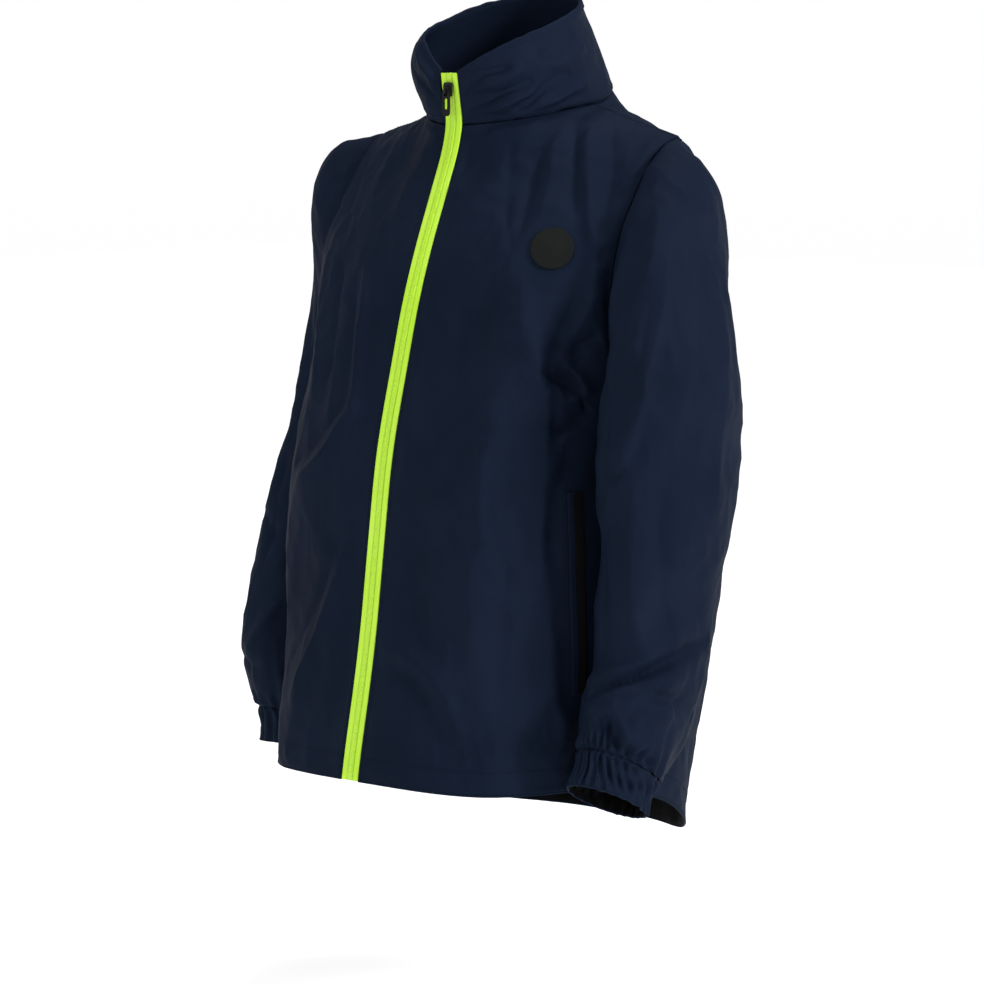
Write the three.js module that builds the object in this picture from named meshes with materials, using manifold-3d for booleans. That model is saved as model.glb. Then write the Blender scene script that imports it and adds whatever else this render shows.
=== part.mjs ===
// A child's zip-up raincoat as it is worn, hollow and standing open: two fronts, a back, two set-in sleeves
// with elastic cuffs, a stand collar of two layers, a front zip, two pocket zips and a round chest patch.
// Millimetres. +Z is up, the front faces -Y, and the wearer's left is +X.
// The origin is midway between the neck ends of the shoulder seams, where the shoulders carry the coat.
import * as THREE from "three";
import { mergeVertices } from "three/addons/utils/BufferGeometryUtils.js";
import Module from "manifold-3d";

const kernel = await Module();
kernel.setup();
const { clamp, lerp, smoothstep, degToRad, radToDeg } = THREE.MathUtils;
const RIGHT_ANGLE = Math.PI / 2;

// Driving dimensions
const CLOTH = 1.5; // wall of the shell cloth
const SEAM_GAP = 0.7; // clear distance between two pieces that are sewn together
const LAY_GAP = 0.45; // clear distance under a piece that lies on another
const ZIP = { tapeHalf: 8.2, tapeWall: 1.1, coilHalf: 2.6, coilWall: 1.7, foldHalf: 8.8 };
const HEM = { front: -509, corner: -513, back: -575 };
const UNDERARM_Z = -226;
const NECK = { half: 66, frontDrop: 16, round: 1.3 };
const NAPE = { lift: 16, y: 74, fadeZ: -150 };
const SHOULDER = { slope: 0.28, tip: 150, seamY: 14 };
const FACES = { front: { lift: 30, drop: 110 }, back: { lift: 60, drop: 70 } };
const PATCH = { x: 112.5, z: -106, radius: 16.5, wall: 0.9, rings: 4, sides: 28 };
const SLEEVE = { length: 480, perDegree: 1.05 };
const POCKET = {
  top: -287, bottom: -440, topAngle: 66, bottomAngle: 70.5,
  welt: 6, zip: 7, weltWall: 1.4, zipWall: 0.9, rows: 12,
};
const CUFF = {
  length: 27, gap: 0.5, radius: 32, waist: 2, wall: 1.5,
  gathers: 22, gatherDepth: 2.4, gatherFrom: 0.12, gatherTo: 0.9, gatherRound: 0.7, sidesPerGather: 4,
};
const SLIDER = { width: 8, length: 11, round: 2, wall: 2, sink: 0.01, y: -79.6, z: 11 };
const BRIDGE = { width: 1.8, length: 6.4, reach: 3.6, bar: 1.2 };
const PULL = {
  width: 7.4, length: 21, round: 3, wall: 1.3, bar: 1.3,
  slotWidth: 3, slotLength: 4.4, slotRound: 0.6,
  windowWidth: 3.4, windowLength: 8.5, windowRound: 1.4, windowDrop: 11,
};
const COLLAR = {
  centreY: -22, baseGap: 0.8, lip: 2, lipStart: 25, lipFull: 45, bulgeHigh: 1.4,
  rises: [0, 0.2, 0.42, 0.64, 0.84, 1],
};

// Where folds fade out: from the zip, the armholes and sides, the neck, and the sleeves' two ends
const FADE = {
  zip: [8.8, 22.8], side: [1, 9], neck: [25, 50],
  armhole: [0.04, 0.14], cuff: [0.92, 0.99], seamTurn: 340,
};

// How finely each piece is divided
const MESH = {
  armholeHalf: 16, lowerRows: 12, neckRows: 6, bodyColumns: 13,
  sleeveRows: 18, cuffRows: 3, collarColumns: 36, zipRows: 24,
};

// The body in level cuts: half width, depth in front of and behind the centre, and squareness
const BODY_SECTIONS = [
  { z: -620, half: 146, front: 163, back: 143, centreY: -40, power: 2.5 },
  { z: -509, half: 146, front: 158, back: 150, centreY: -34, power: 2.7 },
  { z: -442, half: 147, front: 150, back: 160, centreY: -29, power: 2.9 },
  { z: -397, half: 148, front: 145, back: 164, centreY: -26, power: 3.1 },
  { z: -330, half: 148, front: 140, back: 168, centreY: -22, power: 3.5 },
  { z: -261, half: 145, front: 134, back: 162, centreY: -18, power: 3.5 },
  { z: -194, half: 149, front: 123, back: 138, centreY: -12, power: 2.9 },
  { z: -149, half: 156, front: 115, back: 124, centreY: -8, power: 2.7 },
  { z: -104, half: 161, front: 102, back: 110, centreY: -5, power: 2.6 },
  { z: -58, half: 166, front: 86, back: 98, centreY: -2, power: 2.4 },
  { z: -30, half: 168, front: 80, back: 82, centreY: -1, power: 2.3 },
  { z: 0, half: 168, front: 88, back: 68, centreY: 0, power: 2.2 },
  { z: 60, half: 172, front: 97, back: 64, centreY: 0, power: 2.2 },
];

// The collar's top edge by degrees from the centre front, positive to the wearer's left
const COLLAR_EDGE = [
  { turn: -180, half: 62, depth: 62, z: 88, bulge: 0 },
  { turn: -130, half: 62, depth: 62, z: 78, bulge: 1 },
  { turn: -90, half: 62, depth: 62, z: 63, bulge: 5 },
  { turn: -60, half: 61, depth: 61, z: 54, bulge: 10 },
  { turn: -35, half: 60, depth: 60, z: 46, bulge: 10 },
  { turn: -15, half: 63, depth: 59, z: 31, bulge: 4 },
  { turn: 0, half: 67, depth: 58, z: 21, bulge: 0 },
  { turn: 15, half: 63, depth: 59, z: 28, bulge: 1 },
  { turn: 35, half: 60, depth: 60, z: 39, bulge: 3 },
  { turn: 60, half: 61, depth: 61, z: 51, bulge: 3 },
  { turn: 90, half: 63, depth: 63, z: 63, bulge: 2 },
  { turn: 130, half: 65, depth: 65, z: 78, bulge: -1 },
  { turn: 180, half: 62, depth: 62, z: 88, bulge: 0 },
];

// Folds on the fronts and back: a line by three places across and up, its half width, and its height
// (a trough below 0)
const BODY_FOLDS = {
  front_left: [
    { x1: 112, z1: -48, x2: 126, z2: -95, x3: 133, z3: -150, width: 8, rise: -4 },
    { x1: 48, z1: -45, x2: 58, z2: -80, x3: 80, z3: -118, width: 8, rise: -2.5 },
    { x1: 86, z1: -130, x2: 71, z2: -168, x3: 46, z3: -250, width: 19, rise: -5 },
    { x1: 98, z1: -145, x2: 113, z2: -195, x3: 132, z3: -264, width: 10, rise: 5 },
    { x1: 126, z1: -170, x2: 136, z2: -206, x3: 128, z3: -230, width: 9, rise: -7 },
    { x1: 18, z1: -398, x2: 58, z2: -424, x3: 92, z3: -478, width: 12, rise: 3 },
    { x1: 60, z1: -290, x2: 52, z2: -340, x3: 58, z3: -400, width: 16, rise: -3 },
  ],
  front_right: [
    { x1: 53, z1: -115, x2: 46, z2: -200, x3: 35, z3: -272, width: 11, rise: 4 },
    { x1: 100, z1: -308, x2: 66, z2: -276, x3: 46, z3: -236, width: 11, rise: 4.5 },
    { x1: 78, z1: -190, x2: 84, z2: -240, x3: 96, z3: -280, width: 15, rise: -4.5 },
    { x1: 33, z1: -366, x2: 62, z2: -416, x3: 86, z3: -480, width: 11, rise: 4.5 },
    { x1: 70, z1: -330, x2: 90, z2: -390, x3: 106, z3: -450, width: 15, rise: -4.5 },
    { x1: 52, z1: -440, x2: 58, z2: -480, x3: 66, z3: -516, width: 13, rise: -3.5 },
  ],
  back: [
    { x1: 38, z1: -120, x2: 54, z2: -260, x3: 48, z3: -430, width: 22, rise: -5 },
    { x1: 112, z1: -170, x2: 88, z2: -240, x3: 78, z3: -330, width: 16, rise: -5 },
    { x1: 4, z1: -320, x2: -4, z2: -440, x3: 6, z3: -575, width: 26, rise: 5 },
    { x1: -70, z1: -150, x2: -58, z2: -300, x3: -72, z3: -500, width: 22, rise: -5.5 },
    { x1: -116, z1: -180, x2: -98, z2: -230, x3: -92, z3: -300, width: 15, rise: 4.5 },
    { x1: 84, z1: -400, x2: 92, z2: -470, x3: 86, z3: -560, width: 20, rise: -5 },
  ],
};

// Folds on the sleeves: a line by degrees round the arm and shares of the sleeve's length
const SLEEVE_FOLDS = {
  left: [
    { turn1: 40, along1: 0.3, turn2: 62, along2: 0.46, turn3: 88, along3: 0.6, width: 10, rise: 5 },
    { turn1: 66, along1: 0.3, turn2: 92, along2: 0.42, turn3: 112, along3: 0.56, width: 11, rise: -5 },
    { turn1: 140, along1: 0.82, turn2: 70, along2: 0.83, turn3: -12, along3: 0.72, width: 9, rise: -7 },
    { turn1: 126, along1: 0.74, turn2: 66, along2: 0.75, turn3: 0, along3: 0.64, width: 12, rise: 4 },
    { turn1: 110, along1: 0.88, turn2: 66, along2: 0.89, turn3: 30, along3: 0.86, width: 8, rise: 3.5 },
    { turn1: 200, along1: 0.5, turn2: 250, along2: 0.46, turn3: 300, along3: 0.52, width: 12, rise: -5 },
    { turn1: 250, along1: 0.14, turn2: 268, along2: 0.28, turn3: 262, along3: 0.4, width: 12, rise: -4 },
  ],
  right: [
    { turn1: 20, along1: 0.34, turn2: 70, along2: 0.42, turn3: 130, along3: 0.4, width: 11, rise: -5 },
    { turn1: 10, along1: 0.52, turn2: 60, along2: 0.56, turn3: 120, along3: 0.52, width: 12, rise: -4.5 },
    { turn1: 30, along1: 0.78, turn2: 80, along2: 0.84, turn3: 140, along3: 0.8, width: 9, rise: -6 },
    { turn1: 230, along1: 0.3, turn2: 270, along2: 0.44, turn3: 320, along3: 0.5, width: 12, rise: -5 },
    { turn1: 220, along1: 0.66, turn2: 270, along2: 0.7, turn3: 330, along3: 0.64, width: 12, rise: -4.5 },
  ],
};

// Each sleeve in rings down the arm: the ring's outer and inner points, its middle, its half depth and lean
const SLEEVE_RINGS = {
  left: [
    { outerX: 172, outerZ: -36, innerX: 149, innerZ: -233, y: -14, skew: 10, depth: 58, lean: 0 },
    { outerX: 189, outerZ: -47, innerX: 151, innerZ: -241, y: -24, skew: 13, depth: 58, lean: 0 },
    { outerX: 201, outerZ: -66, innerX: 153, innerZ: -251, y: -33, skew: 11, depth: 60, lean: 0 },
    { outerX: 213, outerZ: -100, innerX: 155, innerZ: -266, y: -42, skew: 6, depth: 64, lean: 0 },
    { outerX: 228, outerZ: -148, innerX: 156, innerZ: -286, y: -48, skew: 2, depth: 69, lean: 0 },
    { outerX: 238, outerZ: -206, innerX: 156, innerZ: -308, y: -51, skew: 0, depth: 70, lean: 1 },
    { outerX: 240, outerZ: -266, innerX: 155, innerZ: -332, y: -52, skew: 0, depth: 62, lean: 3 },
    { outerX: 236, outerZ: -324, innerX: 154, innerZ: -360, y: -57, skew: 0, depth: 57, lean: 5 },
    { outerX: 230, outerZ: -376, innerX: 153, innerZ: -394, y: -62, skew: 0, depth: 54, lean: 8 },
    { outerX: 226, outerZ: -420, innerX: 151, innerZ: -428, y: -66, skew: 0, depth: 50, lean: 14 },
    { outerX: 221, outerZ: -456, innerX: 152, innerZ: -460, y: -79, skew: 0, depth: 54, lean: 24 },
    { outerX: 213, outerZ: -490, innerX: 153, innerZ: -490, y: -92, skew: 0, depth: 38, lean: 30 },
  ],
  right: [
    { outerX: 172, outerZ: -29, innerX: 149, innerZ: -233, y: 6, skew: -8, depth: 58, lean: 0 },
    { outerX: 189, outerZ: -36, innerX: 151, innerZ: -241, y: 12, skew: -14, depth: 56, lean: 0 },
    { outerX: 199, outerZ: -54, innerX: 153, innerZ: -251, y: 18, skew: -16, depth: 55, lean: 0 },
    { outerX: 208, outerZ: -98, innerX: 155, innerZ: -266, y: 24, skew: -12, depth: 55, lean: 0 },
    { outerX: 219, outerZ: -148, innerX: 156, innerZ: -286, y: 27, skew: -6, depth: 56, lean: 0 },
    { outerX: 231, outerZ: -206, innerX: 156, innerZ: -308, y: 22, skew: 0, depth: 58, lean: 4 },
    { outerX: 238, outerZ: -266, innerX: 155, innerZ: -332, y: 6, skew: 0, depth: 60, lean: 8 },
    { outerX: 239, outerZ: -324, innerX: 154, innerZ: -360, y: -11, skew: 0, depth: 59, lean: 12 },
    { outerX: 236, outerZ: -376, innerX: 153, innerZ: -394, y: -30, skew: 0, depth: 58, lean: 15 },
    { outerX: 231, outerZ: -420, innerX: 151, innerZ: -428, y: -53, skew: 0, depth: 55, lean: 16 },
    { outerX: 222, outerZ: -458, innerX: 152, innerZ: -460, y: -64, skew: 0, depth: 50, lean: 12 },
    { outerX: 213, outerZ: -492, innerX: 153, innerZ: -490, y: -60, skew: 0, depth: 38, lean: 8 },
  ],
};

// A signed power, which keeps an angle's quadrant in a superellipse
const signedPower = (value, power) => Math.sign(value) * Math.abs(value) ** power;

// The row of a table at a place between its rows, each column on a smooth curve
function sample(table, key, value) {
  const rows = [...table].sort((a, b) => a[key] - b[key]);
  const last = rows.length - 1;
  const at = clamp(value, rows[0][key], rows[last][key]);
  let i = rows.findIndex((row, k) => k < last && at <= rows[k + 1][key]);
  if (i < 0) i = last - 1;
  const span = rows[i + 1][key] - rows[i][key];
  const t = (at - rows[i][key]) / span;
  const slope = (k, name) => {
    const [low, high] = [rows[Math.max(k - 1, 0)], rows[Math.min(k + 1, last)]];
    return (high[name] - low[name]) / (high[key] - low[key]);
  };
  const made = {};
  for (const name of Object.keys(rows[i])) {
    const [p, q] = [rows[i][name], rows[i + 1][name]];
    const [m, n] = [slope(i, name) * span, slope(i + 1, name) * span];
    made[name] = p + t * (m + t * (3 * (q - p) - 2 * m - n + t * (2 * (p - q) + m + n)));
  }
  return made;
}

// Height of the shoulder's ridge above a place across the body
function ridgeHeight(x, face) {
  const across = Math.abs(x);
  const neckLift = across < NECK.half ? face.lift * (1 - (across / NECK.half) ** 2) ** NECK.round : 0;
  return neckLift - (across - NECK.half) * SHOULDER.slope;
}

// How far the cloth rides up behind the shoulder seams, towards the nape
function napeLift(x, y, z) {
  const beside = 1 - smoothstep(Math.abs(x), NECK.half, SHOULDER.tip);
  return NAPE.lift * smoothstep(y, SHOULDER.seamY, NAPE.y) * beside * smoothstep(z, NAPE.fadeZ, 0);
}

// The point of the body's outer surface at a place across and a height, in front or at the back
function bodyAt(x, z, isFront) {
  const s = sample(BODY_SECTIONS, "z", z);
  const share = Math.min(Math.abs(x) / s.half, 1);
  const reach = (1 - share ** s.power) ** (1 / s.power);
  const y = s.centreY + (isFront ? -s.front : s.back) * reach;
  const face = isFront ? FACES.front : FACES.back;
  const below = clamp((ridgeHeight(x, face) - z) / face.drop, 0, 1);
  const fullness = Math.sqrt(1 - (1 - below) ** 2);
  const drawnY = SHOULDER.seamY + (y - SHOULDER.seamY) * fullness;
  return new THREE.Vector3(x, drawnY, isFront ? z : z + napeLift(x, drawnY, z));
}

// The same surface by angle from the centre front, positive to the wearer's left
function bodyAtAngle(angle, z) {
  const s = sample(BODY_SECTIONS, "z", z);
  const x = s.half * signedPower(Math.sin(angle), 2 / s.power);
  return bodyAt(x, z, Math.cos(angle) >= 0);
}

// The angle, in the front quarter, at which the body is that far across
function angleAcross(x, z) {
  const s = sample(BODY_SECTIONS, "z", z);
  return Math.asin(Math.min(Math.abs(x) / s.half, 1) ** (s.power / 2));
}

// Height of the hem at an angle from the centre front: a little higher at the zip, dropped at the back
function hemZ(angle) {
  const turned = Math.abs(angle);
  const corner = lerp(HEM.front, HEM.corner, smoothstep(turned, 0, degToRad(50)));
  return lerp(corner, HEM.back, smoothstep(turned, degToRad(70), degToRad(150)));
}

// The armhole edge on the wearer's left, from underarm to shoulder tip, in even steps of its length
function armholeEdge(isFront) {
  const tipZ = ridgeHeight(SHOULDER.tip, FACES.front);
  const underarmX = sample(BODY_SECTIONS, "z", UNDERARM_Z).half;
  const fine = 400;
  const path = [];
  for (let i = 0; i <= fine; i++) {
    const z = lerp(UNDERARM_Z, tipZ, (i / fine) ** 2);
    const low = (tipZ - z) / (tipZ - UNDERARM_Z);
    path.push(bodyAt(lerp(SHOULDER.tip, underarmX, low), z, isFront));
  }
  return evenly(path, MESH.armholeHalf);
}

// Points at equal steps along a line of points
function evenly(path, steps) {
  const run = [0];
  for (let i = 1; i < path.length; i++) run.push(run[i - 1] + path[i].distanceTo(path[i - 1]));
  const made = [];
  for (let k = 0, i = 1; k <= steps; k++) {
    const want = (run[run.length - 1] * k) / steps;
    while (i < path.length - 1 && run[i] < want) i++;
    const t = clamp((want - run[i - 1]) / (run[i] - run[i - 1]), 0, 1);
    made.push(path[i - 1].clone().lerp(path[i], t));
  }
  return made;
}

// The neck edge at a turn from the centre front, on the wearer's left
function neckPoint(turn) {
  const isFront = turn <= RIGHT_ANGLE;
  return bodyAt(NECK.half * Math.sin(turn), isFront ? -NECK.frontDrop * Math.cos(turn) : 0, isFront);
}

// A quarter of the body, on the wearer's left, as rows of points from hem to shoulder seam
function bodyQuarter(isFront) {
  const edge = armholeEdge(isFront);
  const centreX = isFront ? ZIP.foldHalf : 0;
  const startTurn = isFront ? Math.asin(ZIP.foldHalf / NECK.half) : Math.PI;
  const neckZ = (turn) => (isFront ? -NECK.frontDrop * Math.cos(turn) : 0);
  const rows = [];
  for (let j = 0; j < MESH.lowerRows; j++) rows.push(lowerRow(centreX, j / MESH.lowerRows, isFront));
  const centreRows = MESH.armholeHalf - MESH.neckRows;
  edge.forEach((outer, j) => {
    const turn = lerp(startTurn, RIGHT_ANGLE, Math.max(j - centreRows, 0) / MESH.neckRows);
    const x = j > centreRows ? NECK.half * Math.sin(turn) : centreX;
    const z = j > centreRows ? neckZ(turn) : lerp(UNDERARM_Z, neckZ(startTurn), j / centreRows);
    rows.push(upperRow({ x, z }, outer, isFront, j / MESH.armholeHalf));
  });
  return rows;
}

// A level row of the body below the underarm, from the centre line to the side
function lowerRow(centreX, rise, isFront) {
  const row = [];
  const columns = MESH.bodyColumns;
  for (let i = 0; i <= columns; i++) {
    const quarter = lerp(angleAcross(centreX, UNDERARM_Z), RIGHT_ANGLE, i / columns);
    const z = lerp(hemZ(isFront ? quarter : Math.PI - quarter), UNDERARM_Z, rise);
    const s = sample(BODY_SECTIONS, "z", z);
    row.push(bodyAt(i ? s.half * Math.sin(quarter) ** (2 / s.power) : centreX, z, isFront));
  }
  return row;
}

// A row of points across the upper body, from a place on the centre line or neck to a point of the armhole
function upperRow(inner, outer, isFront, rise) {
  const [low, high] = [angleAcross(inner.x, inner.z), angleAcross(outer.x, outer.z)];
  const row = [bodyAt(inner.x, inner.z, isFront)];
  const straight = smoothstep(rise, 0.5, 0.95);
  const columns = MESH.bodyColumns;
  for (let i = 1; i < columns; i++) {
    const share = i / columns;
    const s = sample(BODY_SECTIONS, "z", lerp(inner.z, outer.z, share));
    const round = s.half * Math.sin(lerp(low, high, share)) ** (2 / s.power);
    const x = lerp(clamp(round, inner.x, outer.x), lerp(inner.x, outer.x, share), rise);
    const along = (x - inner.x) / (outer.x - inner.x);
    const ruled = row[0].clone().lerp(outer, along);
    row.push(bodyAt(x, lerp(inner.z, outer.z, along), isFront).lerp(ruled, straight));
  }
  row.push(outer.clone());
  return row;
}

// Mirrors rows of points to the wearer's right
const mirrored = (rows) => rows.map((row) => row.map((p) => new THREE.Vector3(-p.x, p.y, p.z)));

// A surface: points, and triangles that name them. Rows run up and columns to the viewer's right.
function gridSurface(rows, closed = false, flipped = false) {
  const width = rows[0].length;
  const points = rows.flat().map((p) => p.clone());
  const triangles = [];
  for (let j = 0; j + 1 < rows.length; j++) {
    for (let i = 0; i < (closed ? width : width - 1); i++) {
      const next = (i + 1) % width;
      const [a, b, c, d] = [j * width + i, j * width + next, (j + 1) * width + next, (j + 1) * width + i];
      triangles.push([a, b, c], [a, c, d]);
    }
  }
  if (flipped) triangles.forEach((t) => t.reverse());
  return { points, triangles };
}

const placeKey = (p) => [p.x, p.y, p.z].map((v) => Math.round(v * 50)).join(" ");

// Two surfaces as one, joined where their points meet
function joined(...surfaces) {
  const made = { points: [], triangles: [] };
  const index = new Map();
  for (const surface of surfaces) {
    const ids = surface.points.map((p) => {
      const key = placeKey(p);
      if (!index.has(key)) index.set(key, made.points.push(p.clone()) - 1);
      return index.get(key);
    });
    for (const t of surface.triangles) {
      const [a, b, c] = t.map((i) => ids[i]);
      if (a !== b && b !== c && a !== c) made.triangles.push([a, b, c]);
    }
  }
  return made;
}

// Outward directions at a surface's points
function normalsOf(surface) {
  const normals = surface.points.map(() => new THREE.Vector3());
  const [u, v] = [new THREE.Vector3(), new THREE.Vector3()];
  for (const [a, b, c] of surface.triangles) {
    u.subVectors(surface.points[b], surface.points[a]);
    v.subVectors(surface.points[c], surface.points[a]);
    u.cross(v);
    for (const i of [a, b, c]) normals[i].add(u);
  }
  return normals.map((n) => n.normalize());
}

// Gives points that two surfaces share one direction, so that their walls meet edge to edge
function shareNormals(surfaces) {
  const sums = new Map();
  const own = surfaces.map(normalsOf);
  surfaces.forEach((surface, k) =>
    surface.points.forEach((p, i) => {
      const key = placeKey(p);
      if (!sums.has(key)) sums.set(key, new THREE.Vector3());
      sums.get(key).add(own[k][i]);
    }),
  );
  surfaces.forEach((surface) => {
    surface.normals = surface.points.map((p) => sums.get(placeKey(p)).clone().normalize());
  });
}

// The open edges of a surface, each with the surface on its left
function openEdges(surface) {
  const count = new Map();
  for (const t of surface.triangles)
    t.forEach((a, k) => {
      const b = t[(k + 1) % 3];
      count.set(`${a} ${b}`, [a, b]);
    });
  return [...count.values()].filter(([a, b]) => !count.has(`${b} ${a}`));
}

// A closed cloth wall under a surface, drawn back from its open edges by half a seam's gap
function wall(surface, thickness, raise = 0, inset = SEAM_GAP / 2) {
  const normals = surface.normals ?? normalsOf(surface);
  const edges = openEdges(surface);
  const shift = new Map();
  const direction = new THREE.Vector3();
  for (const [a, b] of edges) {
    for (const i of [a, b]) {
      direction.subVectors(surface.points[b], surface.points[a]).normalize();
      if (!shift.has(i)) shift.set(i, new THREE.Vector3());
      shift.get(i).add(new THREE.Vector3().crossVectors(normals[i], direction).normalize());
    }
  }
  const outer = surface.points.map((p, i) => {
    const moved = p.clone().addScaledVector(normals[i], raise);
    if (shift.has(i)) {
      const s = shift.get(i);
      moved.addScaledVector(s.normalize(), inset);
    }
    return moved;
  });
  const inner = outer.map((p, i) => p.clone().addScaledVector(normals[i], -thickness));
  const count = outer.length;
  const triangles = [];
  for (const [a, b, c] of surface.triangles) {
    triangles.push([a, b, c], [c + count, b + count, a + count]);
  }
  for (const [a, b] of edges) triangles.push([b, a, a + count], [b, a + count, b + count]);
  return geometryOf([...outer, ...inner].flatMap((p) => [p.x, p.y, p.z]), triangles.flat());
}

// Places and triangles as a three.js geometry
function geometryOf(places, triangles) {
  const geometry = new THREE.BufferGeometry();
  geometry.setAttribute("position", new THREE.Float32BufferAttribute(places, 3));
  geometry.setIndex(triangles);
  geometry.computeVertexNormals();
  return geometry;
}

// A sleeve on the wearer's left as rings of points, from the armhole to the cuff's seam
function sleeveRings(table) {
  const half = MESH.armholeHalf;
  const [frontEdge, backEdge] = [armholeEdge(true), armholeEdge(false)];
  const armhole = [...frontEdge].reverse().concat(backEdge.slice(1, half));
  const rings = [armhole, ...table.map(sleeveRing)];
  const lineDown = (_, i) => new THREE.CatmullRomCurve3(rings.map((ring) => ring[i]), false, "catmullrom");
  const columns = armhole.map(lineDown);
  const steps = MESH.sleeveRows;
  return Array.from({ length: steps + 1 }, (_, k) =>
    columns.map((curve, i) => (k ? curve.getPoint(k / steps) : armhole[i].clone())),
  );
}

// A ring's middle, and the reach of its outer point and of its front point
function ringFrame({ outerX, outerZ, innerX, innerZ, y, skew, depth, lean }) {
  const centre = new THREE.Vector3((outerX + innerX) / 2, y, (outerZ + innerZ) / 2);
  const across = new THREE.Vector3(outerX, y + skew, outerZ).sub(centre);
  const tip = degToRad(lean);
  const forward = new THREE.Vector3(0, -Math.cos(tip), Math.sin(tip)).multiplyScalar(depth);
  return { centre, across, forward };
}

// One ring of a sleeve: the top or outer point first, then by the front to the underarm and round the back
function sleeveRing(place) {
  const { centre, across, forward } = ringFrame(place);
  return Array.from({ length: MESH.armholeHalf * 2 }, (_, i) => {
    const turn = (i / MESH.armholeHalf) * Math.PI;
    return centre.clone().addScaledVector(across, Math.cos(turn)).addScaledVector(forward, Math.sin(turn));
  });
}

// The collar's columns run from the zip round the wearer's left, the nape and the right, back to the zip
function collarTurns() {
  const start = Math.asin(ZIP.foldHalf / NECK.half);
  return Array.from({ length: MESH.collarColumns + 1 }, (_, i) => {
    const turn = lerp(start, 2 * Math.PI - start, i / MESH.collarColumns);
    return turn > Math.PI ? turn - 2 * Math.PI : turn;
  });
}

// A point of the collar at a turn from the centre front and a share of its height
function collarPoint(turn, rise) {
  const away = Math.abs(turn);
  const base = neckPoint(away);
  const lip = COLLAR.lip * smoothstep(away, degToRad(COLLAR.lipStart), degToRad(COLLAR.lipFull));
  const outward = new THREE.Vector3(Math.sin(away), -Math.cos(away), 0);
  base.addScaledVector(outward, lip).add(new THREE.Vector3(0, 0, COLLAR.baseGap));
  base.x *= Math.sign(turn);
  outward.x *= Math.sign(turn);
  const edge = sample(COLLAR_EDGE, "turn", radToDeg(turn));
  const topY = COLLAR.centreY - edge.depth * Math.cos(turn);
  const top = new THREE.Vector3(edge.half * Math.sin(turn), topY, edge.z);
  const bulge = edge.bulge * Math.sin(Math.PI * rise ** COLLAR.bulgeHigh);
  return base.lerp(top, rise).addScaledVector(outward, bulge);
}

const collarRows = () => COLLAR.rises.map((rise) => collarTurns().map((turn) => collarPoint(turn, rise)));

// The centre front in rows from the hem to the top of the collar, each giving its point at a place across
function zipLine() {
  const rows = [];
  for (let i = 0; i <= MESH.zipRows; i++) {
    const z = lerp(HEM.front, -NECK.frontDrop, i / MESH.zipRows);
    rows.push((x) => bodyAt(x, z, true));
  }
  for (const rise of COLLAR.rises.slice(1)) {
    const at = collarPoint(Math.asin(ZIP.foldHalf / NECK.half), rise);
    rows.push((x) => new THREE.Vector3(x, at.y, at.z));
  }
  return rows;
}

// A strip of the zip between two places across
const zipStrip = (low, high) => gridSurface(zipLine().map((at) => [at(low), at(high)]));

// The point of a panel's surface straight in front of a place across and up
function onPanel(surface, x, z) {
  const place = new THREE.Vector3(x, 0, z);
  const flat = surface.points.map((p) => new THREE.Vector3(p.x, 0, p.z));
  for (const [a, b, c] of surface.triangles) {
    const share = THREE.Triangle.getBarycoord(place, flat[a], flat[b], flat[c], new THREE.Vector3());
    if (!share || Math.min(share.x, share.y, share.z) < -1e-6) continue;
    const y = surface.points[a].y * share.x + surface.points[b].y * share.y + surface.points[c].y * share.z;
    return new THREE.Vector3(x, y, z);
  }
  throw new Error(`no panel at ${x}, ${z}`);
}

// A strip on the side of a front panel, between two distances round from the pocket's line
function pocketStrip(panel, sign, from, to) {
  const rows = [];
  for (let j = 0; j <= POCKET.rows; j++) {
    const z = lerp(POCKET.bottom, POCKET.top, j / POCKET.rows);
    const near = degToRad(lerp(POCKET.bottomAngle, POCKET.topAngle, j / POCKET.rows));
    const step = 0.02;
    const perMm = step / bodyAtAngle(near, z).distanceTo(bodyAtAngle(near + step, z));
    const row = [from, (from + to) / 2, to].map((reach) => bodyAtAngle(near + reach * perMm, z));
    rows.push(row.map((p) => onPanel(panel, p.x * sign, p.z)));
  }
  return rows;
}

// The point at which a line through a place meets a panel's surface
function laidOnPanel(surface, place, out) {
  const p = place.clone();
  const steps = 4;
  for (let k = 0; k < steps; k++) {
    const gap = onPanel(surface, p.x, p.z).y - p.y;
    p.addScaledVector(out, gap * out.y);
  }
  return onPanel(surface, p.x, p.z);
}

// A round patch on the chest, in rings of points from its edge to its middle
function patchSurface(panel) {
  const { x, z, radius, rings, sides } = PATCH;
  const step = 5;
  const middle = onPanel(panel, x, z);
  const across = onPanel(panel, x + step, z).sub(onPanel(panel, x - step, z)).normalize();
  const up = onPanel(panel, x, z + step).sub(onPanel(panel, x, z - step));
  const out = new THREE.Vector3().crossVectors(across, up).normalize();
  up.crossVectors(out, across);
  const rows = [];
  for (let k = 0; k <= rings; k++) {
    const row = [];
    for (let i = 0; i < sides; i++) {
      const turn = (i / sides) * 2 * Math.PI;
      const reach = (radius * (rings - k)) / rings;
      const p = middle.clone().addScaledVector(across, reach * Math.cos(turn));
      row.push(laidOnPanel(panel, p.addScaledVector(up, reach * Math.sin(turn)), out));
    }
    rows.push(row);
  }
  return joined(gridSurface(rows, true));
}

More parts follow.
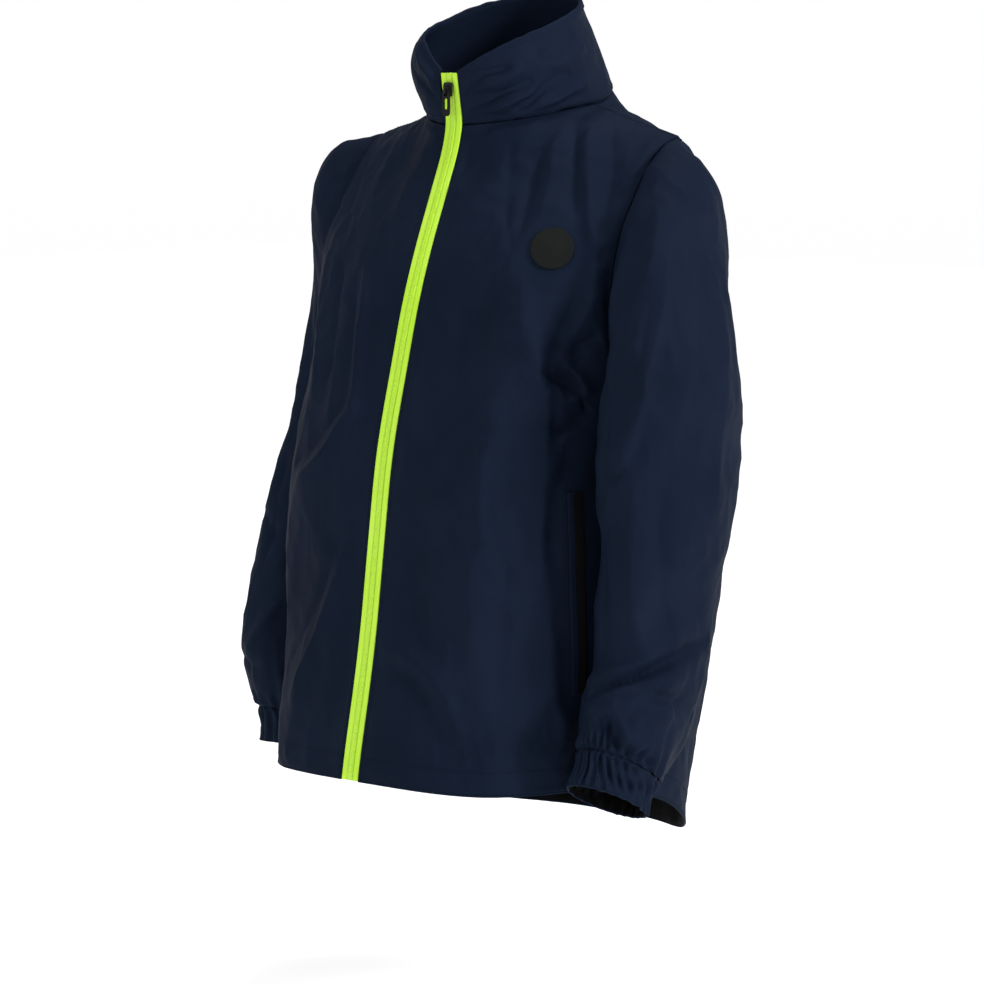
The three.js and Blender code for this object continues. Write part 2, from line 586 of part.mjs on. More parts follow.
// An elastic cuff in gathered rings below the end of a sleeve
function cuffRings(table) {
  const end = table[table.length - 1];
  const { centre, across, forward } = ringFrame(end);
  const down = new THREE.Vector3().crossVectors(across, forward).normalize();
  if (down.z > 0) down.negate();
  const [wide, deep] = [across.length(), forward.length()];
  const rows = [];
  for (let j = 0; j <= MESH.cuffRows; j++) {
    const drop = j / MESH.cuffRows;
    const ringCentre = centre.clone().addScaledVector(down, CUFF.gap + CUFF.length * drop);
    const middle = Math.sin(Math.PI * lerp(CUFF.gatherFrom, CUFF.gatherTo, drop));
    const gather = CUFF.gatherDepth * middle ** CUFF.gatherRound;
    const row = [];
    for (let i = 0; i < CUFF.gathers * CUFF.sidesPerGather; i++) {
      const turn = (i / (CUFF.gathers * CUFF.sidesPerGather)) * 2 * Math.PI;
      const draw = gather * (0.5 - 0.5 * Math.cos(turn * CUFF.gathers));
      const waist = CUFF.waist * Math.sin(Math.PI * drop);
      const x = lerp(wide, CUFF.radius, drop) - draw - waist;
      const y = lerp(deep, CUFF.radius, drop) - draw - waist;
      const p = ringCentre.clone().addScaledVector(across, (x / wide) * Math.cos(turn));
      row.push(p.addScaledVector(forward, (y / deep) * Math.sin(turn)));
    }
    rows.push(row);
  }
  return rows;
}

// A rounded oblong, as an outline or as a hole in one
function oblong(Kind, width, length, round, middle = 0) {
  const path = new Kind();
  const corners = [[1, 1], [-1, 1], [-1, -1], [1, -1]];
  corners.forEach(([x, y], k) => {
    const [cx, cy] = [x * (width / 2 - round), middle + y * (length / 2 - round)];
    path.absarc(cx, cy, round, k * RIGHT_ANGLE, (k + 1) * RIGHT_ANGLE);
  });
  return path;
}

// A plate standing upright with its back face at y 0, as a closed geometry
function plate(outline, holes, thickness) {
  outline.holes = holes;
  const options = { depth: thickness, bevelEnabled: false, curveSegments: 2 };
  return closed(new THREE.ExtrudeGeometry(outline, options).rotateX(RIGHT_ANGLE));
}

// A geometry with its corners shared between faces
function closed(geometry) {
  geometry.deleteAttribute("normal");
  geometry.deleteAttribute("uv");
  const made = mergeVertices(geometry);
  made.computeVertexNormals();
  return made;
}

// A closed geometry as a solid that can be joined and cut
function solidOf(geometry) {
  const vertProperties = geometry.attributes.position.array;
  const triVerts = Uint32Array.from(geometry.index.array);
  return new kernel.Manifold(new kernel.Mesh({ numProp: 3, vertProperties, triVerts }));
}

// The slider's plate with the arched bridge that holds the pull
function sliderGeometry() {
  const { width, length, reach, bar } = BRIDGE;
  const arch = closed(new THREE.BoxGeometry(width, reach, length));
  const opening = closed(new THREE.BoxGeometry(width * 2, reach, length - 2 * bar).translate(0, bar, 0));
  const bridgeY = SLIDER.sink - SLIDER.wall - reach / 2;
  const bridge = solidOf(arch).subtract(solidOf(opening)).translate([0, bridgeY, 0]);
  const body = plate(oblong(THREE.Shape, SLIDER.width, SLIDER.length, SLIDER.round), [], SLIDER.wall);
  const { vertProperties, triVerts } = solidOf(body).add(bridge).getMesh();
  return geometryOf(vertProperties, [...triVerts]);
}

// The pull: a flat tab with a slot that takes the bridge and a longer window below it
function pullGeometry() {
  const outline = oblong(THREE.Shape, PULL.width, PULL.length, PULL.round, PULL.bar / 2 - PULL.length / 2);
  const slotY = -PULL.bar / 2 - PULL.slotLength / 2;
  const slot = oblong(THREE.Path, PULL.slotWidth, PULL.slotLength, PULL.slotRound, slotY);
  const window = oblong(THREE.Path, PULL.windowWidth, PULL.windowLength, PULL.windowRound, -PULL.windowDrop);
  return plate(outline, [slot, window], PULL.wall).translate(0, PULL.wall / 2, 0);
}

// How far folds lift a place, by its distance from each fold's line of three places
function foldRise(place, folds) {
  return folds.reduce((sum, { line, width, rise }) => {
    const { away, share } = nearest(place, line);
    const along = Math.sqrt(Math.max(Math.sin(Math.PI * share), 0));
    return sum + rise * along * Math.exp(-((away / width) ** 2));
  }, 0);
}

// The distance from a place to a line of three places, and the share of the line passed there
function nearest(place, [first, middle, last]) {
  let best = { away: Infinity, share: 0 };
  for (const [from, to, start] of [[first, middle, 0], [middle, last, 0.5]]) {
    const span = to.clone().sub(from);
    const t = clamp(place.clone().sub(from).dot(span) / span.lengthSq(), 0, 1);
    const away = place.distanceTo(from.clone().addScaledVector(span, t));
    if (away < best.away) best = { away, share: start + t / 2 };
  }
  return best;
}

// Moves a surface's points along its normals by the folds, given each point's place and its freedom to move
function crease(surface, folds, placeOf, freedomOf) {
  const normals = normalsOf(surface);
  surface.points.forEach((p, i) => {
    const freedom = freedomOf(p, i);
    if (freedom > 0) p.addScaledVector(normals[i], freedom * foldRise(placeOf(p, i), folds));
  });
}

// Folds of a body panel, by places across and heights; free except by the seams
function creaseBody(surface, name, sign) {
  const at = (x, z) => new THREE.Vector2(x * sign, z);
  const lineOf = (f) => [at(f.x1, f.z1), at(f.x2, f.z2), at(f.x3, f.z3)];
  const folds = BODY_FOLDS[name].map((f) => ({ ...f, line: lineOf(f) }));
  const halfAt = (z) => sample(BODY_SECTIONS, "z", z).half;
  const freedom = (p) => {
    const across = Math.abs(p.x);
    const above = lerp(SHOULDER.tip, halfAt(UNDERARM_Z), p.z / UNDERARM_Z);
    const limit = p.z > UNDERARM_Z ? above : halfAt(p.z);
    const fromZip = name === "back" ? 1 : smoothstep(across, ...FADE.zip);
    return fromZip * smoothstep(limit - across, ...FADE.side) * smoothstep(-p.z, ...FADE.neck);
  };
  crease(surface, folds, (p) => new THREE.Vector2(p.x, p.z), freedom);
}

// Folds of a sleeve, by millimetres round and along it; free except by the armhole and the cuff
function creaseSleeve(surface, table) {
  const around = MESH.armholeHalf * 2;
  const at = (turn, along) => new THREE.Vector2(turn * SLEEVE.perDegree, along * SLEEVE.length);
  const lineOf = (f) => [at(f.turn1, f.along1), at(f.turn2, f.along2), at(f.turn3, f.along3)];
  const folds = table.map((f) => ({ ...f, line: lineOf(f) }));
  const placeOf = (p, i) => {
    const turn = ((i % around) * 360) / around;
    return at(turn > FADE.seamTurn ? turn - 360 : turn, Math.floor(i / around) / MESH.sleeveRows);
  };
  const freedom = (p, i) => {
    const along = Math.floor(i / around) / MESH.sleeveRows;
    return smoothstep(along, ...FADE.armhole) * (1 - smoothstep(along, ...FADE.cuff));
  };
  crease(surface, folds, placeOf, freedom);
}

const cloth = new THREE.MeshStandardMaterial({ color: 0x1a2335, roughness: 0.75, metalness: 0 });
const neon = new THREE.MeshStandardMaterial({ color: 0xc4ec78, roughness: 0.8, metalness: 0 });
const coil = new THREE.MeshStandardMaterial({ color: 0xb4e832, roughness: 0.5, metalness: 0 });
const darkZip = new THREE.MeshStandardMaterial({ color: 0x15161a, roughness: 0.6, metalness: 0 });
const patchCloth = new THREE.MeshStandardMaterial({ color: 0x232526, roughness: 0.8, metalness: 0 });
const rubber = new THREE.MeshStandardMaterial({ color: 0x0c0d0e, roughness: 0.6, metalness: 0 });

const coat = new THREE.Group();

function add(name, geometry, material = cloth) {
  const mesh = new THREE.Mesh(geometry, material);
  mesh.name = name;
  coat.add(mesh);
}

const frontRows = bodyQuarter(true);
const backRows = bodyQuarter(false);
const frontLeft = gridSurface(frontRows);
const frontRight = gridSurface(mirrored(frontRows), false, true);
const back = joined(gridSurface(backRows, false, true), gridSurface(mirrored(backRows)));
const sleeveLeft = gridSurface(sleeveRings(SLEEVE_RINGS.left), true);
const sleeveRight = gridSurface(mirrored(sleeveRings(SLEEVE_RINGS.right)), true, true);
creaseBody(frontLeft, "front_left", 1);
creaseBody(frontRight, "front_right", -1);
creaseBody(back, "back", 1);
creaseSleeve(sleeveLeft, SLEEVE_FOLDS.left);
creaseSleeve(sleeveRight, SLEEVE_FOLDS.right);
shareNormals([frontLeft, frontRight, back, sleeveLeft, sleeveRight]);
add("front_left", wall(frontLeft, CLOTH));
add("front_right", wall(frontRight, CLOTH));
add("back", wall(back, CLOTH));
add("sleeve_left", wall(sleeveLeft, CLOTH));
add("sleeve_right", wall(sleeveRight, CLOTH));
const collar = gridSurface(collarRows());
add("collar_outer", wall(collar, CLOTH));
add("collar_inner", wall(collar, CLOTH, -CLOTH - LAY_GAP));
const tapeLow = ZIP.coilHalf + LAY_GAP;
add("zip_tape_left", wall(zipStrip(tapeLow, ZIP.tapeHalf), ZIP.tapeWall, 0, 0), neon);
add("zip_tape_right", wall(zipStrip(-ZIP.tapeHalf, -tapeLow), ZIP.tapeWall, 0, 0), neon);
add("zip_coil", wall(zipStrip(-ZIP.coilHalf, ZIP.coilHalf), ZIP.coilWall, LAY_GAP, 0), coil);
for (const [side, mirror] of [["left", false], ["right", true]]) {
  const [panel, sign] = mirror ? [frontRight, -1] : [frontLeft, 1];
  const zipRows = pocketStrip(panel, sign, POCKET.welt, POCKET.welt + POCKET.zip);
  const weltRows = pocketStrip(panel, sign, 0, POCKET.welt - LAY_GAP);
  const lay = (rows, thickness) => {
    const surface = gridSurface(rows, false, mirror);
    return wall(surface, thickness, LAY_GAP + thickness, 0);
  };
  add(`pocket_welt_${side}`, lay(weltRows, POCKET.weltWall));
  add(`pocket_zip_${side}`, lay(zipRows, POCKET.zipWall), darkZip);
  const rings = cuffRings(SLEEVE_RINGS[side]);
  add(`cuff_${side}`, wall(gridSurface(mirror ? mirrored(rings) : rings, true, mirror), CUFF.wall, 0, 0));
}
add("chest_patch", wall(patchSurface(frontLeft), PATCH.wall, LAY_GAP + PATCH.wall, 0), patchCloth);
add("zip_slider", sliderGeometry().translate(0, SLIDER.y, SLIDER.z), darkZip);
const pivotY = SLIDER.y - SLIDER.wall - (BRIDGE.reach - BRIDGE.bar) / 2;
add("zip_pull", pullGeometry().translate(0, pivotY, SLIDER.z), rubber);

export default coat;
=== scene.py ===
"""Looks of a child's zip-up raincoat: creased cloth, neon zip, gathered cuffs and stitching."""
import math

import bmesh
import bpy
import numpy as np
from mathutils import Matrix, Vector, noise
from mathutils.bvhtree import BVHTree
from mathutils.kdtree import KDTree


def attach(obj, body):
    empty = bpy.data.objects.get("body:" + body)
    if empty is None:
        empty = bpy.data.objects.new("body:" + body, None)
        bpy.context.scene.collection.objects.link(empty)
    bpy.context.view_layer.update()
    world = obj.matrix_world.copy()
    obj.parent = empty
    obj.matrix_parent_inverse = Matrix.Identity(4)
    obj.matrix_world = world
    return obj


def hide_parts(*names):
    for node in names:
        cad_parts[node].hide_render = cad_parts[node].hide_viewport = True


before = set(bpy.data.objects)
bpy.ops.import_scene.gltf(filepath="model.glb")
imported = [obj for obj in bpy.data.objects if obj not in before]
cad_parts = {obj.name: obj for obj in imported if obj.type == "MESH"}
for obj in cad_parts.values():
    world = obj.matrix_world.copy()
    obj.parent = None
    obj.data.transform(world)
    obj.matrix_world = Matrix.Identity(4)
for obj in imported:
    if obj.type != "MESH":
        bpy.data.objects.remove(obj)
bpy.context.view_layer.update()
MM = 0.001

# The photograph's camera
PHOTO_SIDE = 984
CAMERA = {"azimuth": 42, "pitch": 6.5, "distance": 3.0, "look": (0.0079, -0.0391, -0.3015), "focal_px": 3846}
SENSOR = 36.0


def camera_axes():
    """The camera's place and its right, up and backward directions."""
    turn, tilt = math.radians(CAMERA["azimuth"]), math.radians(CAMERA["pitch"])
    back = Vector((math.sin(turn) * math.cos(tilt), -math.cos(turn) * math.cos(tilt), math.sin(tilt)))
    right = Vector((math.cos(turn), math.sin(turn), 0))
    return Vector(CAMERA["look"]) + back * CAMERA["distance"], right, back.cross(right), back


def make_camera():
    eye, right, up, back = camera_axes()
    data = bpy.data.cameras.new("camera")
    data.sensor_width = SENSOR
    data.lens = CAMERA["focal_px"] * SENSOR / PHOTO_SIDE
    camera = bpy.data.objects.new("camera", data)
    bpy.context.scene.collection.objects.link(camera)
    camera.location = eye
    camera.rotation_mode = "QUATERNION"
    camera.rotation_quaternion = (-back).to_track_quat("-Z", "Y")
    bpy.context.scene.camera = camera


# Meshes: the angle of a wall's edge between its faces, and how much an outline turns at a panel's corner
SHARP = math.radians(50)
CORNER = math.radians(45)


def new_piece(name, points, faces, material):
    """A smooth mesh object that rides on the coat."""
    mesh = bpy.data.meshes.new(name)
    mesh.from_pydata([tuple(p) for p in points], [], [tuple(int(i) for i in f) for f in faces])
    mesh.validate()
    mesh.shade_smooth()
    piece = bpy.data.objects.new(name, mesh)
    bpy.context.scene.collection.objects.link(piece)
    mesh.materials.append(material)
    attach(piece, "coat")
    return piece


def outer_skin(node):
    """The outer side of a node's cloth wall, as points and quads: its largest stretch with no sharp edge."""
    bm = bmesh.new()
    bm.from_mesh(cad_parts[node].data)
    bmesh.ops.remove_doubles(bm, verts=bm.verts, dist=0.02 * MM)
    bm.normal_update()
    bm.faces.ensure_lookup_table()
    patches, seen = [], set()
    for face in bm.faces:
        if face.index in seen:
            continue
        patch, queue = [], [face]
        seen.add(face.index)
        while queue:
            here = queue.pop()
            patch.append(here)
            for edge in here.edges:
                if len(edge.link_faces) != 2 or edge.calc_face_angle(0) > SHARP:
                    continue
                for other in edge.link_faces:
                    if other.index not in seen:
                        seen.add(other.index)
                        queue.append(other)
        patches.append(patch)
    patches.sort(key=lambda patch: -sum(f.calc_area() for f in patch))
    keep = set(patches[0])
    bmesh.ops.delete(bm, geom=[f for f in bm.faces if f not in keep], context="FACES")
    any_shape = math.pi
    bmesh.ops.join_triangles(bm, faces=bm.faces, angle_face_threshold=SHARP, angle_shape_threshold=any_shape)
    keep_corners(bm)
    skin = bpy.data.meshes.new(node + "_skin")
    bm.to_mesh(skin)
    bm.free()
    return skin


def keep_corners(bm):
    """Marks the corners of a panel's outline, so that subdivision leaves them pointed."""
    pointed = bm.verts.layers.float.new("crease_vert")
    for vert in bm.verts:
        sides = [edge.other_vert(vert).co - vert.co for edge in vert.link_edges if edge.is_boundary]
        if len(sides) == 2 and sides[0].angle(sides[1]) < math.pi - CORNER:
            vert[pointed] = 1.0


def refined(mesh, levels):
    """Points and faces of a mesh after smooth subdivision."""
    holder = bpy.data.objects.new("holder", mesh)
    bpy.context.scene.collection.objects.link(holder)
    modifier = holder.modifiers.new("subdivision", "SUBSURF")
    modifier.levels = levels
    modifier.boundary_smooth = "PRESERVE_CORNERS"
    modifier.quality = 3
    divided = holder.evaluated_get(bpy.context.evaluated_depsgraph_get())
    done = divided.to_mesh()
    points = np.zeros(len(done.vertices) * 3)
    done.vertices.foreach_get("co", points)
    faces = [tuple(p.vertices) for p in done.polygons]
    divided.to_mesh_clear()
    bpy.data.objects.remove(holder)
    return points.reshape(-1, 3), faces


def normals_of(points, faces):
    """Outward directions at points."""
    quads = np.array([f if len(f) == 4 else (*f, f[-1]) for f in faces])
    across = np.cross(points[quads[:, 2]] - points[quads[:, 0]], points[quads[:, 3]] - points[quads[:, 1]])
    summed = np.zeros_like(points)
    for k in range(4):
        np.add.at(summed, quads[:, k], across)
    return summed / np.maximum(np.linalg.norm(summed, axis=1, keepdims=True), 1e-12)


def open_edges(faces):
    """The edges that one face alone has, as pairs of point numbers."""
    pairs = {}
    for face in faces:
        for a, b in zip(face, face[1:] + face[:1]):
            pairs[(a, b)] = True
    return [(a, b) for a, b in pairs if (b, a) not in pairs]


def shell(points, faces, thickness):
    """A closed thin wall inside a surface, as points and faces."""
    count = len(points)
    inner = points - normals_of(points, faces) * thickness
    rim = [(b, a, a + count, b + count) for a, b in open_edges(faces)]
    lining = [tuple(i + count for i in reversed(f)) for f in faces]
    return np.vstack([points, inner]), [*faces, *lining, *rim]


def smoothstep(value, low, high):
    share = np.clip((value - low) / (high - low), 0, 1)
    return share * share * (3 - 2 * share)


def nearest_distances(points, places):
    """How far each point is from the nearest of some places."""
    tree = KDTree(len(places))
    for i, place in enumerate(places):
        tree.insert(place, i)
    tree.balance()
    return np.array([tree.find(p)[2] for p in points])


def from_edge(points, faces):
    """Each point's distance from the surface's open edge."""
    edge = sorted({i for pair in open_edges(faces) for i in pair})
    return nearest_distances(points, points[edge])


def curve_through(places, steps=24):
    """A smooth line through a few places."""
    places = [np.array(p, float) for p in places]
    ends = [2 * places[0] - places[1], *places, 2 * places[-1] - places[-2]]
    line = []
    for a, b, c, d in zip(ends, ends[1:], ends[2:], ends[3:]):
        square, cube = 2 * a - 5 * b + 4 * c - d, 3 * b - a - 3 * c + d
        for t in np.linspace(0, 1, steps, endpoint=False):
            line.append(0.5 * (2 * b + (c - a) * t + square * t**2 + cube * t**3))
    return np.array([*line, places[-1]])


def fold_heights(points, normals, line, fold):
    """How far one fold lifts each point: a ridge or trough along a line, uneven and fading at its ends.

    "steep" makes the side on the line's right steeper, or with a minus the left side.
    """
    width, rise, steep = fold["width"] * MM, fold["rise"] * MM, fold.get("steep", 0)
    spans = line[1:] - line[:-1]
    best = np.full(len(points), np.inf)
    share = np.zeros(len(points))
    side = np.zeros(len(points))
    near = np.linalg.norm(points - line.mean(0), axis=1) < np.ptp(line, axis=0).max() + 4 * width
    ids = np.flatnonzero(near)
    for k, (start, span) in enumerate(zip(line, spans)):
        t = np.clip((points[ids] - start) @ span / max(span @ span, 1e-12), 0, 1)
        aside = points[ids] - start - t[:, None] * span
        away = np.linalg.norm(aside, axis=1)
        closer = away < best[ids]
        turned = np.cross(span, normals[ids])
        best[ids[closer]] = away[closer]
        share[ids[closer]] = (k + t[closer]) / len(spans)
        side[ids[closer]] = np.sign(np.sum(aside * turned, axis=1))[closer]
    taper = np.sqrt(np.clip(np.sin(math.pi * share), 0, 1))
    wander = 1 + FOLD_WANDER["part"] * np.sin(share * FOLD_WANDER["turn"] + rise / MM)
    reach = width * wander * (1 - steep * side)
    return rise * taper * np.exp(-((best / reach) ** FOLD_CREST))


# How pointed a fold's crest is, and how its width wanders along its line
FOLD_CREST = 1.45
FOLD_WANDER = {"part": 0.25, "turn": 9}


# Folds by piece: a line, its half width and its height (a trough below 0), in millimetres. The line is in
# pixels of the photograph, or in millimetres in a plain view of a side that the photograph hides.
PHOTO_FOLDS = {
    "front_left": [
        # Chest: folds that hang from the collar, and those that the armhole draws
        {"line": [(574, 112), (575, 146), (573, 200), (570, 262)], "width": 6, "rise": -5},
        {"line": [(592, 104), (588, 130), (590, 190), (594, 250)], "width": 7, "rise": 4},
        {"line": [(544, 148), (532, 176), (524, 208), (518, 240)], "width": 5, "rise": -4},
        {"line": [(558, 130), (552, 166), (546, 196), (540, 226)], "width": 6, "rise": 2.5},
        {"line": [(512, 140), (508, 176), (506, 210), (510, 250)], "width": 6, "rise": -3.5, "steep": 0.4},
        {"line": [(608, 112), (612, 150), (606, 200), (600, 246)], "width": 6, "rise": -3},
        {"line": [(522, 262), (526, 322), (534, 350), (540, 386), (550, 424)], "width": 9, "rise": 5},
        {"line": [(580, 256), (576, 296), (562, 332), (552, 362)], "width": 7, "rise": -5},
        {"line": [(598, 262), (590, 300), (576, 330), (562, 346)], "width": 7, "rise": 5},
        {"line": [(600, 336), (588, 342), (578, 348), (572, 356)], "width": 5, "rise": -5},
        {"line": [(558, 350), (566, 364), (578, 378), (590, 396)], "width": 5, "rise": 6, "steep": 0.3},
        {"line": [(540, 370), (554, 378), (568, 384), (580, 394)], "width": 5, "rise": -5},
        {"line": [(544, 392), (556, 402), (570, 404), (582, 400)], "width": 8, "rise": 5},
        {"line": [(550, 428), (562, 428), (578, 420), (592, 408)], "width": 6, "rise": -6},
        {"line": [(570, 440), (566, 470), (560, 520), (558, 570)], "width": 12, "rise": -5},
        {"line": [(546, 430), (546, 476), (540, 530), (542, 590)], "width": 9, "rise": 4},
        # Body: long soft hanging folds
        {"line": [(470, 290), (460, 350), (448, 420), (444, 500)], "width": 18, "rise": -4},
        {"line": [(500, 300), (498, 380), (486, 460), (476, 540)], "width": 16, "rise": 4.5},
        {"line": [(520, 500), (506, 580), (500, 660), (508, 750)], "width": 15, "rise": -4.5},
        {"line": [(548, 600), (552, 660), (560, 720), (570, 780)], "width": 12, "rise": 4.5},
        {"line": [(470, 560), (474, 630), (488, 700), (498, 780)], "width": 13, "rise": 4},
        {"line": [(378, 644), (414, 661), (446, 699), (462, 744)], "width": 7, "rise": 4},
        {"line": [(392, 664), (420, 690), (434, 730), (440, 780)], "width": 10, "rise": -4},
        {"line": [(400, 520), (412, 570), (420, 620), (424, 650)], "width": 13, "rise": -3},
        {"line": [(600, 726), (582, 746), (568, 774), (556, 798)], "width": 8, "rise": -4},
    ],
    "front_right": [
        # The wearer's right front
        {"line": [(367, 262), (365, 304), (357, 356), (354, 400), (352, 458)], "width": 5, "rise": 4.5},
        {"line": [(357, 270), (352, 310), (345, 356), (342, 396)], "width": 7, "rise": -4.5},
        {"line": [(356, 396), (342, 424), (322, 458), (296, 484)], "width": 6, "rise": 5},
        {"line": [(344, 392), (330, 420), (312, 446), (294, 464)], "width": 7, "rise": -4.5},
        {"line": [(348, 540), (338, 582), (312, 646), (290, 700)], "width": 5, "rise": 4},
        {"line": [(338, 530), (326, 576), (302, 630), (288, 664)], "width": 8, "rise": -4},
        {"line": [(412, 124), (396, 150), (380, 182), (370, 206)], "width": 7, "rise": 3},
        {"line": [(392, 122), (372, 152), (356, 186), (348, 214)], "width": 7, "rise": -3.5},
        {"line": [(330, 250), (322, 300), (318, 350), (310, 400)], "width": 8, "rise": 4},
        {"line": [(342, 256), (336, 300), (330, 350), (322, 390)], "width": 6, "rise": -3.5},
        {"line": [(430, 140), (414, 190), (398, 240), (392, 290)], "width": 13, "rise": 2.5},
        {"line": [(350, 600), (344, 660), (330, 720), (318, 760)], "width": 10, "rise": -3.5},
    ],
    "sleeve_left": [
        # The near sleeve: a broad lit outside, the elbow's overhang and the facets above the cuff
        {"line": [(666, 236), (664, 290), (654, 344), (640, 412), (624, 470)],
         "width": 9, "rise": 5, "steep": -0.4},
        {"line": [(650, 280), (646, 330), (634, 380), (616, 430)], "width": 10, "rise": -5},
        {"line": [(640, 176), (630, 230), (618, 290), (610, 340)], "width": 8, "rise": 4},
        {"line": [(690, 230), (704, 320), (700, 420), (690, 500)], "width": 14, "rise": -5},
        {"line": [(720, 300), (724, 380), (718, 450), (712, 520)], "width": 9, "rise": 4},
        {"line": [(600, 470), (616, 476), (634, 458), (650, 424)], "width": 6, "rise": -4},
        {"line": [(664, 470), (660, 530), (664, 590), (672, 634)], "width": 12, "rise": -4.5},
        {"line": [(636, 510), (632, 570), (636, 620), (644, 650)], "width": 9, "rise": 4},
        {"line": [(606, 520), (604, 580), (602, 630), (600, 668)], "width": 9, "rise": -3.5},
        {"line": [(588, 684), (606, 676), (634, 667), (660, 650), (700, 630)], "width": 9, "rise": 6.5},
        {"line": [(588, 694), (608, 686), (646, 674), (684, 656), (708, 640)],
         "width": 5.5, "rise": -11, "steep": 0.45},
        {"line": [(584, 708), (612, 702), (650, 692), (690, 672)], "width": 7, "rise": 6.5},
        {"line": [(602, 716), (608, 730), (616, 744), (628, 756)], "width": 7, "rise": -7, "steep": 0.3},
        {"line": [(612, 700), (617, 716), (624, 734), (638, 752)], "width": 5, "rise": 6.5},
        {"line": [(616, 698), (646, 694), (674, 702), (694, 718)], "width": 5, "rise": -7},
        {"line": [(618, 708), (648, 706), (672, 716), (690, 734)], "width": 6, "rise": 6},
        {"line": [(642, 750), (646, 762), (650, 774), (656, 788)], "width": 5, "rise": -6},
        {"line": [(694, 730), (684, 752), (672, 770), (664, 784)], "width": 6, "rise": -3.5},
        {"line": [(590, 720), (590, 740), (594, 760), (600, 774)], "width": 5, "rise": 3},
    ],
    "sleeve_right": [
        # The far sleeve
        {"line": [(318, 240), (312, 290), (306, 340), (300, 390)], "width": 9, "rise": -4},
        {"line": [(296, 420), (282, 470), (272, 520), (262, 570)], "width": 8, "rise": -4},
        {"line": [(280, 600), (266, 622), (254, 640), (246, 662)], "width": 7, "rise": 4},
        {"line": [(276, 660), (268, 684), (262, 706), (266, 722)], "width": 6, "rise": -4},
    ],
    "collar_outer": [
        # Collar: wrinkles that rise to the right, and the lip above the seam
        {"line": [(468, 78), (482, 74), (498, 71), (512, 66)], "width": 3, "rise": -5.5, "steep": 0.3},
        {"line": [(466, 92), (486, 86), (508, 78), (524, 68)], "width": 4, "rise": 3.5},
        {"line": [(472, 104), (492, 98), (512, 90), (534, 82)], "width": 3, "rise": -6.5, "steep": 0.3},
        {"line": [(470, 114), (496, 108), (516, 100), (540, 92)], "width": 4, "rise": 4.5},
        {"line": [(512, 112), (530, 102), (548, 88), (572, 76)], "width": 3, "rise": -6.5, "steep": 0.3},
        {"line": [(524, 116), (546, 106), (566, 94), (590, 80)], "width": 4.5, "rise": 5.5},
        {"line": [(538, 60), (556, 50), (576, 34), (590, 16)], "width": 5, "rise": -3.8},
        {"line": [(552, 68), (568, 60), (586, 46), (598, 34)], "width": 5, "rise": 3.2},
        {"line": [(418, 52), (424, 66), (432, 76), (440, 88)], "width": 4, "rise": 3.8},
        {"line": [(412, 64), (418, 78), (428, 88), (438, 98)], "width": 3.5, "rise": -3.5},
    ],
}
